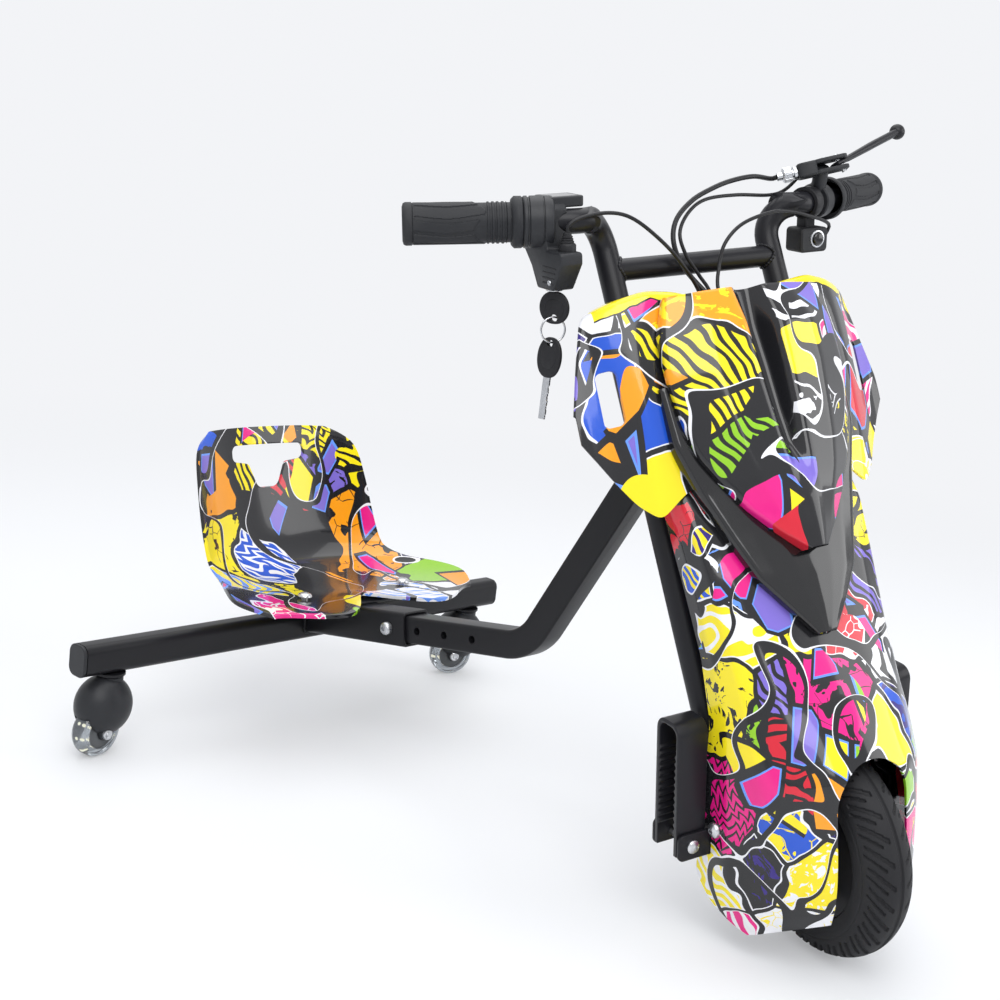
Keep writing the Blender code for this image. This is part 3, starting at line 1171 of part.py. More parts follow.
LEVER_BODY = (Vector((-0.2778, 0.1250, 0.6560)), Vector((-0.2577, 0.1680, 0.6660)))
LEVER_MIDDLE = Vector((-0.2690, 0.2120, 0.6770))
LEVER_END = Vector((-0.2835, 0.2510, 0.6880))
LEVER_THICK = 0.0046
PIVOT_INSET = 0.0070         # pivot pin behind the outer end of the lever body
BODY_WIDTH = 0.0180
BODY_HEIGHT = 0.0140
ADJUSTER_LENGTH = 0.0190
PIN_LEAN = (-0.45, -0.33, 0.80)   # the way the lever's pin points
CLAMP_AT = -0.0170           # brake clamp inboard of the grip
CLAMP_RADIUS = 0.0165
SWITCH_Z = 0.5950            # middle height of the switch pod under the bar


def brake_pin():
    """The pivot of the lever, and the pin's direction, square to the line to the lever's tip."""
    inner, outer = LEVER_BODY
    pivot = outer - (outer - inner).normalized() * PIVOT_INSET
    reach = (LEVER_END - pivot).normalized()
    lean = Vector(PIN_LEAN)
    return pivot, reach, (lean - reach * lean.dot(reach)).normalized()


def frame_at(place, ahead, over):
    over = (over - ahead * over.dot(ahead)).normalized()
    matrix = Matrix((ahead, over.cross(ahead), over)).transposed().to_4x4()
    matrix.translation = place
    return matrix


def body_matrix():
    """X along the lever body, from the pivot."""
    inner, outer = LEVER_BODY
    pivot, _, pin = brake_pin()
    return frame_at(pivot, (outer - inner).normalized(), pin)


def brake_controls(level):
    """Brake bracket with its clamp and body, the lever on its pin and the barrel adjuster."""
    pivot, reach, pin = brake_pin()
    matrix = frame_at(pivot, reach, pin)
    frame, inward = empty("lever_axis", matrix, level), matrix.inverted()
    casting = empty("lever_body_axis", body_matrix(), level)
    inner, outer = LEVER_BODY
    length = (outer - inner).length
    axis = grip_axis(1)
    clamp = grip_point(CLAMP_AT, 1)
    bracket = cylinder("brake_bracket", CLAMP_RADIUS, (clamp - axis * 0.0075, clamp + axis * 0.0075), "plastic",
                       level, 24)
    middle = Vector((PIVOT_INSET - length / 2, 0, 0))
    unite(bracket, box("bracket_body", (length, BODY_WIDTH, BODY_HEIGHT), middle, parent=casting, bevel=0.003,
                       cutter=True))
    body_middle = (inner + outer) / 2
    unite(bracket, rod("bracket_neck", [clamp.lerp(body_middle, 0.30), body_middle], 0.0070, parent=level,
                       cutter=True))
    combine(bracket, bar_rod("bracket_bore", BAR_RADIUS + 2 * GAP, 1, level))
    slot = LEVER_THICK + 4 * GAP
    combine(bracket, box("lever_slot", (0.034, 0.060, slot), (0.0040, 0, 0), parent=frame, cutter=True))
    combine(bracket, cylinder("pivot_hole", 0.0025 + 2 * GAP, ((0, 0, -0.02), (0, 0, 0.02)), parent=frame, sides=16,
                              cutter=True))
    bend, tip = inward @ LEVER_MIDDLE, inward @ LEVER_END
    line = [Vector((-0.0085, 0, 0)), Vector((0.010, bend.y * 0.3, 0)), Vector((bend.x, bend.y, 0)),
            Vector((tip.x, tip.y, 0))]
    blade = lever_blade(line, frame)
    half = BODY_HEIGHT / 2 + 0.0022
    unite(blade, cylinder("pivot_pin", 0.0025, ((0, 0, -half), (0, 0, half)), parent=frame, sides=16, cutter=True))
    profile = [(0, ADJUSTER_LENGTH), (0.0040, ADJUSTER_LENGTH), (0.0040, 0.0150), (0.0066, 0.0145),
               (0.0072, 0.0130), (0.0072, 0.0050), (0.0060, 0.0036), (0.0060, GAP), (0, GAP)]
    turned("barrel_adjuster", profile, (PIVOT_INSET - length, 0, 0), (-1, 0, 0), "steel", casting, steps=20)
    grip("grip_left", 1, GRIP_RADIUS_LEFT, level, grip_point(0.0, 1))


def lever_blade(line, frame):
    """A flat blade that widens at its ball end, swept along the lever's line."""
    points = filleted(line, [0.020, 0.030], 4)
    shape = bmesh.new()
    rings = []
    count = 10
    for i, point in enumerate(points):
        ahead = (points[min(i + 1, len(points) - 1)] - points[max(i - 1, 0)]).normalized()
        across = Vector((0, 0, 1)).cross(ahead).normalized()
        over = ahead.cross(across)
        share = i / (len(points) - 1)
        half_wide = 0.0062 - 0.0012 * share
        half_thick = LEVER_THICK / 2 if point.x < 0.012 else LEVER_THICK / 2 + 0.0012 * min(1.0, share * 2)
        rings.append([shape.verts.new(point + across * half_wide * math.cos(math.tau * k / count)
                                      + over * half_thick * math.sin(math.tau * k / count))
                      for k in range(count)])
    for ring, after in zip(rings, rings[1:]):
        for k in range(count):
            shape.faces.new((ring[k], ring[(k + 1) % count], after[(k + 1) % count], after[k]))
    shape.faces.new(rings[0][::-1])
    shape.faces.new(rings[-1])
    bmesh.ops.recalc_face_normals(shape, faces=shape.faces)
    blade = shade(mesh_object("brake_lever", shape, "satin", frame))
    ball = bmesh.new()
    bmesh.ops.create_uvsphere(ball, u_segments=12, v_segments=8, radius=0.0075)
    tip = mesh_object("lever_ball", ball, "satin", frame, cutter=True)
    tip.location = points[-1]
    unite(blade, tip)
    return blade


def switch_pod(level):
    """Handlebar switch below the bar with its strap round the bar, and its push button."""
    at = grip_point(-0.046, 1)
    at = Vector((at.x + 0.000, at.y - 0.004, at.z))
    pod = box("switch_pod", (0.024, 0.032, 0.023), (at.x, at.y + 0.011, SWITCH_Z), "plastic", level, bevel=0.003)
    strap = cylinder("switch_strap", 0.0150, (grip_point(-0.0440, 1), grip_point(-0.0305, 1)), parent=level,
                     sides=24, cutter=True)
    unite(pod, strap)
    post = box("switch_post", (0.014, 0.012, 0.030), (*grip_point(-0.037, 1).xy, SWITCH_Z + 0.018),
               parent=level, cutter=True)
    unite(pod, post)
    combine(pod, cylinder("strap_bore", BAR_RADIUS + 2 * GAP, (grip_point(-0.056, 1), grip_point(0.002, 1)),
                          parent=level, sides=24, cutter=True))
    face = at.x + 0.012
    seat = 0.0060
    middle = Vector((face, at.y + 0.014, SWITCH_Z + 0.001))
    combine(pod, cylinder("button_seat", seat + 2 * GAP, (middle - Vector((0.0084, 0, 0)), middle + Vector((0.01, 0, 0))),
                          parent=level, sides=20, cutter=True))
    button = [(0, 0.0035), (seat - 0.0012, 0.0032), (seat, 0.0018), (seat, -0.0057), (0, -0.0057)]
    turned("horn_button", button, middle, (1, 0, 0), "plastic", level, steps=20)
    return Vector((at.x, at.y + 0.011 + 0.016 + GAP, SWITCH_Z))


LEAD_RADIUS = 0.0017
CABLE_RADIUS = 0.0023
CABLE_RISE = 0.054           # above the controller, where the cables pass the fairing's top rim
CABLE_WAY = CONTROLLER_TOP + CABLE_RISE
BRAKE_RUN = [   # from the lever to the fairing, in the level frame
    (-0.2800, 0.0760, 0.6550), (-0.2770, 0.0500, 0.6530), (-0.2730, 0.0260, 0.6480), (-0.2690, 0.0000, 0.6386),
    (-0.2620, -0.0220, 0.6230), (-0.2530, -0.0300, 0.6035), (-0.2460, -0.0220, 0.5812),
]
THROTTLE_RUN = [(-0.2485, -0.1320, 0.6330), (-0.2430, -0.1080, 0.6370), (-0.2362, -0.0880, 0.6328),
                (-0.2299, -0.0660, 0.6166), (-0.2270, -0.0420, 0.5931)]
BRAKE_SWITCH_RUN = [(-0.2870, 0.1200, 0.6400), (-0.2860, 0.1000, 0.6360), (-0.2810, 0.0580, 0.6390),
                    (-0.2750, 0.0190, 0.6378), (-0.2680, -0.0046, 0.6281), (-0.2575, -0.0207, 0.6120),
                    (-0.2500, -0.0185, 0.5930), (-0.2440, -0.0080, 0.5750)]
SWITCH_RUN = [(-0.2640, 0.1560, 0.6060), (-0.2580, 0.1420, 0.6130), (-0.2510, 0.1230, 0.6180),
              (-0.2490, 0.1000, 0.6240), (-0.2460, 0.0740, 0.6260), (-0.2450, 0.0400, 0.6180),
              (-0.2430, 0.0190, 0.6020), (-0.2390, 0.0100, 0.5812)]
INNER_RUN = [   # the brake cable inside the fairing, in the raked frame
    (0.0475, -0.0040, 0.588), (0.0500, 0.0100, 0.574), (0.0470, 0.0340, 0.562), (0.0400, 0.0480, 0.540),
    (0.0380, 0.0500, 0.480), (0.0380, 0.0510, 0.400), (0.0400, 0.0520, 0.300), (0.0400, 0.0500, 0.220),
    (0.0370, 0.0465, 0.180),
]


def cables(level, switch_end, adjuster_end):
    """The brake cable and the three leads, clipped from the bar down into the fairing."""
    anvil = level_point(BRAKE_ARM[0], HUB_HALF + 0.0145, BRAKE_ARM[1] + 0.005 + 2 * GAP)
    above = level_point(BRAKE_ARM[0], HUB_HALF + 0.0145, BRAKE_ARM[1] + 0.013)
    inner = [level_point(*point) for point in [(0.0400, -0.0080, CABLE_WAY)] + INNER_RUN]
    outward = (LEVER_BODY[1] - LEVER_BODY[0]).normalized()
    route = [adjuster_end - outward * 0.006] + [Vector(point) for point in BRAKE_RUN] + inner + [above]
    points = [adjuster_end] + smooth_path(route, 0.0170) + [anvil]
    rod("brake_cable", points, CABLE_RADIUS, "rubber", level, fineness=2)
    boot = Vector((*BOOT, SHOULDER + 0.0160 + GAP))
    inside, sideways = bracket_gland(body_matrix())
    rise, out = Vector((0, 0, 0.004)), Vector((0, 0.004, 0))
    for name, start, lead_in, run, entry, end in (
            ("throttle_lead", boot, rise, THROTTLE_RUN, (0.0385, -0.0155), (0.0385, -0.0190)),
            ("brake_switch_lead", inside, sideways, BRAKE_SWITCH_RUN, (0.0335, -0.0005), (0.0335, -0.0040)),
            ("switch_lead", switch_end, out, SWITCH_RUN, (0.0415, 0.0020), (0.0400, 0.0080))):
        route = [start + lead_in] + [Vector(point) for point in run]
        route += [level_point(*entry, CABLE_WAY), level_point(*end, CONTROLLER_TOP + 0.006)]
        points = [start] + smooth_path(route, 0.0140) + [level_point(*end, CONTROLLER_TOP + GAP)]
        rod(name, points, LEAD_RADIUS, "rubber", level, fineness=2)


def bracket_gland(matrix):
    """Where the brake switch lead leaves the side of the lever body, and the way it points."""
    inner, outer = LEVER_BODY
    side = matrix.to_3x3().col[1]
    return inner.lerp(outer, 0.14) + side * (BODY_WIDTH / 2 + GAP), side * 0.004


def build():
    clear_scene()
    level, raked = steering_frames()
    rear_crossbar()
    for side, sign in (("right", -1), ("left", 1)):
        crossbar_cap(side, sign)
        caster(side, sign)
        footpeg(side, sign, level, raked)
    seat_sleeve()
    frame_tube()
    length_bolt()
    head_set()
    seat_shell()
    seat_strap()
    steering_head(raked)
    front_wheel(raked)
    brake_plate(raked)
    front_cover(level, raked)
    upper_fairing(raked)
    nose_shield(raked)
    v_panel(raked)
    rear_cover(raked)
    inner_parts(raked)
    handlebar(level)
    throttle_housing(level)
    lock_and_keys(level)
    brake_controls(level)
    adjuster = LEVER_BODY[0] - (LEVER_BODY[1] - LEVER_BODY[0]).normalized() * (ADJUSTER_LENGTH + GAP)
    cables(level, switch_pod(level), adjuster)


build()
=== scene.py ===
# Electric drift tricycle: the looks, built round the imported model. Metres, +Z up, +X forward,
# +Y the rider's left. The front end is stored turned to the rider's right.
import math

import bmesh
import bpy
import numpy as np
from mathutils import Matrix, Vector


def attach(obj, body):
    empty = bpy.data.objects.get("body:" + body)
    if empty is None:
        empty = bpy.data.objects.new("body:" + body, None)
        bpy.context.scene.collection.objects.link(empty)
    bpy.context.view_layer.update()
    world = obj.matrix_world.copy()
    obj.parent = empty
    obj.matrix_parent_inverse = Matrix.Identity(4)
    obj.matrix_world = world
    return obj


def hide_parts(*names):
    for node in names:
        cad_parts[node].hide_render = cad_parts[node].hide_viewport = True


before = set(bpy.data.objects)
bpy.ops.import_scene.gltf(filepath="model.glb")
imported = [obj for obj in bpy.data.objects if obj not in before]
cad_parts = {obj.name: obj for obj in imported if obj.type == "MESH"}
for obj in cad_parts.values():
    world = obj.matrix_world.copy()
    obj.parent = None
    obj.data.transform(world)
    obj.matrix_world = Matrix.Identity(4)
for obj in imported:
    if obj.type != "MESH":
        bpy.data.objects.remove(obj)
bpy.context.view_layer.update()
print("packed model loaded:", len(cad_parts), "nodes")

crossbarX = -0.3395
steer = {"foot": 0.740, "rake": 26.0, "turn": -21.0}


def steeringFrames():
    # the level frame turns with the bars, the raked one also leans back along the steering axis
    lean, turn = math.radians(steer["rake"]), math.radians(steer["turn"])
    axis = np.array([-math.sin(lean), 0.0, math.cos(lean)])
    cross = np.array([[0, -axis[2], axis[1]], [axis[2], 0, -axis[0]], [-axis[1], axis[0], 0]])
    turned = np.eye(3) + math.sin(turn) * cross + (1 - math.cos(turn)) * cross @ cross
    leaned = np.array([[math.cos(lean), 0, -math.sin(lean)], [0, 1, 0], [math.sin(lean), 0, math.cos(lean)]])
    return turned, turned @ leaned, leaned, np.array([crossbarX + steer["foot"], 0.0, 0.0])


levelTurn, rakedTurn, leanTurn, axisFoot = steeringFrames()


# turns for flat outlines, whose second direction is up: the plate's depth runs ahead, or across
facingAhead = np.array([[0, 0, 1], [1, 0, 0], [0, 1, 0]], float)
facingSide = np.array([[1, 0, 0], [0, 0, -1], [0, 1, 0]], float)
clearance = 0.0003  # running gap between pieces that don't touch
clampGap = 0.0006   # between the bar and a clamp round it


def fromLevel(points):
    return np.asarray(points, float) @ levelTurn.T + axisFoot


def fromRaked(points):
    return np.asarray(points, float) @ rakedTurn.T + axisFoot


# Shader maths

class Link:
    # one socket of a material's nodes, so that sums can be written plainly
    def __init__(self, paint, socket):
        self.paint = paint
        self.socket = socket

    def maths(self, operation, *others):
        values = {place: value for place, value in enumerate((self, *others))}
        return self.paint.node("Math", {"operation": operation}, values)

    def __add__(self, other):
        return self.maths("ADD", other)

    def __sub__(self, other):
        return self.maths("SUBTRACT", other)

    def __mul__(self, other):
        return self.maths("MULTIPLY", other)

    def __truediv__(self, other):
        return self.maths("DIVIDE", other)

    def __radd__(self, other):
        return self.maths("ADD", other)

    def __rmul__(self, other):
        return self.maths("MULTIPLY", other)

    def __rsub__(self, other):
        return self.paint.node("Math", {"operation": "SUBTRACT"}, {0: other, 1: self})

    def __lt__(self, other):
        return self.maths("LESS_THAN", other)

    def __gt__(self, other):
        return self.maths("GREATER_THAN", other)

    def eased(self, low, high, outLow=0.0, outHigh=1.0):
        return self.paint.node("MapRange", {"interpolation_type": "SMOOTHSTEP"},
                               {"Value": self, "From Min": low, "From Max": high, "To Min": outLow,
                                "To Max": outHigh})


class Paint:
    # a material with its Principled shader, and one way to add any other node
    def __init__(self, name, colour, roughness, metallic=0.0, **looks):
        self.material = bpy.data.materials.new(name)
        self.material.use_nodes = True
        self.tree = self.material.node_tree
        self.shader = self.tree.nodes["Principled BSDF"]
        self.put("Base Color", (*colour, 1.0))
        self.put("Roughness", roughness)
        self.put("Metallic", metallic)
        for look, value in looks.items():
            self.put(look, value)

    def node(self, kind, settings=None, values=None, out=0):
        made = self.tree.nodes.new("ShaderNode" + kind)
        for name, value in (settings or {}).items():
            if name == "stops":
                ramp = made.color_ramp
                while len(ramp.elements) < len(value):
                    ramp.elements.new(1.0)
                for stop, (at, colour) in zip(ramp.elements, value):
                    stop.position = at
                    stop.color = (*colour, 1.0)
            elif name == "ramp":
                made.color_ramp.interpolation = value
            else:
                setattr(made, name, value)
        for place, value in (values or {}).items():
            self.join(made.inputs[place], value)
        return Link(self, made.outputs[out])

    def join(self, socket, value):
        if isinstance(value, Link):
            self.tree.links.new(value.socket, socket)
        else:
            socket.default_value = value

    def put(self, name, value):
        self.join(self.shader.inputs[name], value)

    def place(self):
        return self.node("TexCoord", out="Object")

    def noise(self, scale, detail=2.0, at=None, out="Fac", **more):
        wants = {"Vector": at or self.place(), "Scale": scale, "Detail": detail, **more}
        return self.node("TexNoise", None, wants, out)

    def cells(self, scale, at, feature="F1", out="Distance", **more):
        return self.node("TexVoronoi", {"feature": feature}, {"Vector": at, "Scale": scale, **more}, out)

    def blend(self, share, low, high):
        return self.node("Mix", {"data_type": "RGBA", "blend_type": "MIX"}, {0: share, 6: low, 7: high}, 2)

    def vector(self, operation, first, second=(0.0, 0.0, 0.0), out=0):
        return self.node("VectorMath", {"operation": operation}, {0: first, 1: second}, out)

    def bump(self, height, strength, depth):
        self.put("Normal", self.node("Bump", None, {"Height": height, "Strength": strength, "Distance": depth}))


def satinPaint(name, colour, roughness):
    # powder coat: a faint orange peel and a roughness that wanders a little
    paint = Paint(name, colour, roughness, **{"Specular IOR Level": 0.24})
    paint.put("Roughness", paint.noise(22.0, 3.0) * 0.10 + (roughness - 0.05))
    paint.bump(paint.noise(900.0, 2.0), 0.10, 0.0004)
    return paint.material


def grainedPlastic(name, colour, roughness, grain=1400.0):
    # moulded plastic with a fine spark-eroded grain
    paint = Paint(name, colour, roughness, **{"Specular IOR Level": 0.26})
    paint.put("Roughness", paint.noise(40.0, 2.0) * 0.12 + (roughness - 0.06))
    paint.bump(paint.noise(grain, 3.0), 0.25, 0.0003)
    return paint.material


def rubberSkin(name, colour, roughness):
    paint = Paint(name, colour, roughness, **{"Specular IOR Level": 0.22})
    dust = paint.noise(14.0, 4.0).eased(0.45, 0.75)
    paint.put("Base Color", paint.blend(dust * 0.35, (*colour, 1.0), (0.045, 0.045, 0.046, 1.0)))
    paint.put("Roughness", dust * 0.10 + roughness)
    paint.bump(paint.noise(700.0, 4.0), 0.30, 0.0004)
    return paint.material


def brightSteel(name, colour, roughness):
    # zinc plate: soft clouds in the shine and fine turning marks
    paint = Paint(name, colour, roughness, 1.0)
    cloud = paint.noise(120.0, 3.0)
    paint.put("Roughness", cloud * 0.18 + (roughness - 0.06))
    paint.put("Base Color", paint.blend(cloud.eased(0.3, 0.8), (*colour, 1.0),
                                        (*[c * 0.78 for c in colour], 1.0)))
    paint.bump(paint.noise(1600.0, 2.0), 0.12, 0.0002)
    return paint.material


inks = {
    "black": (0.012, 0.012, 0.014), "yellow": (0.900, 0.740, 0.012), "magenta": (0.780, 0.010, 0.230),
    "blue": (0.012, 0.085, 0.560), "violet": (0.200, 0.145, 0.580), "green": (0.270, 0.560, 0.020),
    "orange": (0.900, 0.330, 0.010), "red": (0.640, 0.015, 0.035), "white": (0.820, 0.820, 0.850),
    "sky": (0.130, 0.300, 0.850), "navy": (0.030, 0.014, 0.200),
}


def steps(*names):
    # a ramp of flat inks: each name takes a share of the range
    total = sum(share for name, share in names)
    stops, at = [], 0.0
    for name, share in names:
        stops.append((at, inks[name]))
        at += share / total
    return {"ramp": "CONSTANT", "stops": stops}


def inRaked(paint):
    # how far a point lies aside of the middle of the front end, and its height along the steering axis
    at = paint.vector("SUBTRACT", paint.place(), tuple(axisFoot))
    side, height = (paint.vector("DOT_PRODUCT", at, tuple(rakedTurn[:, k]), out="Value") for k in (1, 2))
    return side.maths("ABSOLUTE"), height


def yellowRim(paint, colour):
    # a yellow band with a black line along the top edge of both wings
    side, height = inRaked(paint)
    top = (side - 0.0865).maths("ABSOLUTE") * -0.235 + 0.606
    below = top - height + (paint.noise(60.0, 1.0) - 0.5) * 0.006
    wide = (side > 0.030).maths("MULTIPLY", side < 0.134)
    colour = paint.blend((below < 0.0078).maths("MULTIPLY", wide), colour, (*inks["black"], 1.0))
    return paint.blend((below < 0.0062).maths("MULTIPLY", wide), colour, (*inks["yellow"], 1.0))


def paintedGrooveShade(paint, colour):
    # painted shade: the deep groove down the middle of the nose is painted black and ends in a point
    side, height = inRaked(paint)
    reach = ((height - 0.434) * 0.22).maths("MINIMUM", 0.0158)
    return paint.blend(side < reach, colour, (*inks["black"], 1.0))


def glossBlack(name, colour, roughness):
    # polished plastic: soft swirls in the shine and a slight waviness
    paint = Paint(name, colour, roughness, **{"Specular IOR Level": 0.42, "Coat Weight": 0.35,
                                              "Coat Roughness": 0.03})
    paint.put("Roughness", paint.noise(26.0, 3.0, Distortion=1.5) * 0.07 + (roughness - 0.02))
    paint.bump(paint.noise(90.0, 1.0), 0.05, 0.0005)
    return paint.material


def printedSkin(name, shift, size, over=None):
    # Street-style print of our own under a gloss coat: flat patches with black outlines, and in them
    # cracks, stripes, rings, zigzags or splashes by chance; over those sharp shards and thin white loops.
    paint = Paint(name, inks["black"], 0.16, **{"Specular IOR Level": 0.30, "Coat Weight": 0.40,
                                                "Coat Roughness": 0.04})
    place = paint.vector("ADD", paint.place(), shift)
    swirl = paint.vector("SUBTRACT", paint.noise(1.1 / size, 2.0, place, "Color"), (0.5, 0.5, 0.5))
    bent = paint.vector("MULTIPLY_ADD", swirl, (size * 0.75,) * 3)
    paint.join(bent.socket.node.inputs[2], place)
    patch = paint.node("SeparateColor", None, {0: paint.cells(1.0 / size, bent, out="Color")})
    pick, ink, kind = (Link(paint, patch.socket.node.outputs[i]) for i in range(3))
    rim = paint.cells(1.0 / size, bent, "DISTANCE_TO_EDGE")
    ground = paint.node("ValToRGB", steps(("yellow", 27), ("black", 21), ("magenta", 12), ("blue", 12),
                                          ("violet", 8), ("white", 5), ("green", 5), ("orange", 5), ("red", 5)),
                        {0: pick})
    second = paint.node("ValToRGB", steps(("black", 50), ("white", 22), ("sky", 8), ("yellow", 12), ("navy", 8)),
                        {0: ink})
    # motifs, each in the patches whose kind falls in its share
    cracks = (paint.cells(4.3 / size, bent, "DISTANCE_TO_EDGE") < 0.022).maths(
        "MULTIPLY", paint.noise(3.0 / size, 1.0, bent) > 0.50)
    spots = paint.noise(3.4 / size, 2.0, bent) > 0.605
    split = paint.node("SeparateXYZ", None, {0: bent})
    across, along, upward = (Link(paint, split.socket.node.outputs[i]) for i in range(3))
    slope = (across * 0.55 + along * 0.80 + upward * 0.9) * (7.0 / size)
    stripes = (slope.maths("FRACT") < 0.42)
    zigzag = ((upward * (6.0 / size) + ((along - across) * (5.0 / size)).maths("PINGPONG", 0.5) * 1.6)
              .maths("FRACT") < 0.38)
    centre = paint.vector("SUBTRACT", bent, paint.cells(1.0 / size, bent, out="Position"))
    rings = (paint.vector("LENGTH", centre, out="Value") * (6.5 / size)).maths("FRACT") < 0.36
    splash = paint.noise(5.5 / size, 4.0, bent, Distortion=1.2) > 0.57

    def between(low, high):
        return (kind > low).maths("MULTIPLY", kind < high)

    drawn = cracks.maths("MAXIMUM", spots).maths("MULTIPLY", between(-1.0, 0.36))
    for mask, low, high in ((stripes, 0.36, 0.50), (zigzag, 0.50, 0.62), (rings, 0.62, 0.70), (splash, 0.70, 0.88)):
        drawn = drawn.maths("MAXIMUM", mask.maths("MULTIPLY", between(low, high)))
    colour = paint.blend(drawn, ground, second)
    colour = paint.blend(rim < 0.030, colour, (*inks["black"], 1.0))
    edge = (rim > 0.030).maths("MULTIPLY", rim < 0.047).maths("MULTIPLY", ink > 0.55)
    colour = paint.blend(edge, colour, (*inks["white"], 1.0))
    # shards: stretched cells, a few of them filled, with a black rim and a pale one inside it
    slant = paint.node("Mapping", {"vector_type": "POINT"}, {0: place, 2: (0.5, 0.9, 0.4), 3: (1.0, 2.3, 1.4)})
    shardEdge = paint.cells(1.05 / size, slant, "DISTANCE_TO_EDGE")
    shard = paint.node("SeparateColor", None, {0: paint.cells(1.05 / size, slant, out="Color")})
    chance, hue = (Link(paint, shard.socket.node.outputs[i]) for i in (0, 1))
    field = paint.noise(0.8 / size, 0.0, place) > 0.47
    on = (chance > 0.60).maths("MULTIPLY", field)
    fill = paint.node("ValToRGB", steps(("orange", 20), ("yellow", 22), ("violet", 18), ("magenta", 16),
                                        ("green", 12), ("red", 12)), {0: hue})
    fill = paint.blend(shardEdge < 0.075, fill, (*inks["black"], 1.0))
    fill = paint.blend((shardEdge > 0.075).maths("MULTIPLY", shardEdge < 0.105).maths("MULTIPLY", hue > 0.42), fill,
                       (*inks["sky"], 1.0))
    colour = paint.blend(on, colour, fill)
    # loops: one level of a soft field, drawn thin and white beside a black spill
    wave = paint.noise(0.95 / size, 0.5, place, Distortion=0.6)
    colour = paint.blend((wave > 0.505).maths("MULTIPLY", wave < 0.560), colour, (*inks["black"], 1.0))
    colour = paint.blend((wave > 0.500).maths("MULTIPLY", wave < 0.508), colour, (*inks["white"], 1.0))
    if over:
        colour = over(paint, colour)
    paint.put("Base Color", colour)
    paint.put("Roughness", paint.noise(30.0, 2.0) * 0.08 + 0.12)
    paint.bump(paint.noise(260.0, 2.0), 0.06, 0.0004)
    return paint.material


def clearPlastic(name, colour, roughness):
    paint = Paint(name, colour, roughness, 0.0, **{"Transmission Weight": 0.85, "IOR": 1.47})
    paint.bump(paint.noise(300.0, 2.0), 0.05, 0.0003)
    return paint.material


def glintGlowLens(name, colour, roughness):
    # painted glints: the small LEDs in the clear wheels glow a faint yellowish white, standing in for glints of light
    paint = Paint(name, colour, roughness, 0.0, **{"Emission Color": (*colour, 1.0), "Emission Strength": 1.1})
    paint.put("Roughness", paint.noise(900.0, 2.0) * 0.08 + roughness)
    return paint.material


finishes = {
    "frame": satinPaint("frameBlack", (0.010, 0.010, 0.012), 0.36),
    "bar": satinPaint("barBlack", (0.012, 0.012, 0.015), 0.33),
    "plastic": grainedPlastic("housingBlack", (0.022, 0.023, 0.026), 0.42),
    "softPlastic": grainedPlastic("controlBlack", (0.014, 0.014, 0.016), 0.50),
    "gloss": glossBlack("panelBlack", (0.008, 0.008, 0.009), 0.09),
    "grip": rubberSkin("gripRubber", (0.020, 0.021, 0.024), 0.52),
    "tyre": rubberSkin("tyreRubber", (0.016, 0.016, 0.018), 0.58),
    "sheath": grainedPlastic("cableSheath", (0.012, 0.012, 0.014), 0.35, 900.0),
    "steel": brightSteel("zincSteel", (0.62, 0.63, 0.65), 0.26),
    "fairingPrint": printedSkin("fairingPrint", (0.31, -0.22, 0.05), 0.085, yellowRim),
    # the nose shield's print, with the groove's shade painted black
    "shieldPrintGrooveShade": printedSkin("shieldPrintGrooveShade", (0.31, -0.22, 0.05), 0.085, paintedGrooveShade),
    "coverPrint": printedSkin("coverPrint", (0.46, 0.11, 0.23), 0.066),
    "seatPrint": printedSkin("seatPrint", (0.53, 0.18, -0.27), 0.085),
    "clear": clearPlastic("clearWheel", (0.42, 0.45, 0.48), 0.08),
    "core": grainedPlastic("wheelCore", (0.11, 0.115, 0.12), 0.35, 600.0),
    # the caster wheels' LEDs, glowing as painted glints
    "ledGlint": glintGlowLens("wheelLedGlint", (0.95, 0.90, 0.68), 0.30),
    "alloy": brightSteel("caseAlloy", (0.55, 0.56, 0.58), 0.38),
    "wrap": grainedPlastic("batteryWrap", (0.04, 0.10, 0.32), 0.40, 500.0),
}
print("finishes made")


# Shapes

def curved(knots, at):
    # cubic through the knots along their first direction, read at fractional knot numbers
    knots = np.asarray(knots, float)
    last = len(knots) - 1
    at = np.asarray(at, float)
    low = np.clip(np.floor(at).astype(int), 0, last - 1)
    t = (at - low).reshape((-1,) + (1,) * (knots.ndim - 1))
    p0, p1, p2, p3 = (knots[np.clip(low + k, 0, last)] for k in (-1, 0, 1, 2))
    return p1 + t / 2 * (p2 - p0 + t * (2 * p0 - 5 * p1 + 4 * p2 - p3 + t * (3 * (p1 - p2) + p3 - p0)))


def straight(knots, at):
    # the same with straight runs between the knots
    knots = np.asarray(knots, float)
    last = len(knots) - 1
    low = np.clip(np.floor(at).astype(int), 0, last - 1)
    t = (at - low).reshape((-1,) + (1,) * (knots.ndim - 1))
    return knots[low] * (1 - t) + knots[low + 1] * t


def numbers(knots, step):
    # fractional knot numbers that lie about one step apart along the first direction
    knots = np.asarray(knots, float)
    gaps = np.linalg.norm(np.diff(knots, axis=0), axis=-1)
    gaps = gaps.reshape(len(gaps), -1).max(axis=1)
    runs = [np.linspace(i, i + 1, max(2, int(math.ceil(gap / step)) + 1))[:-1] for i, gap in enumerate(gaps)]
    return np.concatenate(runs + [np.array([len(knots) - 1.0])])


def swap(grid):
    return np.swapaxes(grid, 0, 1)


def softened(grid, reach):
    # rounds the ridges of a dense grid: a running mean along its first direction that keeps both ends
    weights = np.hanning(2 * reach + 3)[1:-1]
    weights /= weights.sum()
    padded = np.concatenate([2 * grid[:1] - grid[reach:0:-1], grid, 2 * grid[-1:] - grid[-2:-reach - 2:-1]])
    return sum(weight * padded[i:i + len(grid)] for i, weight in enumerate(weights))


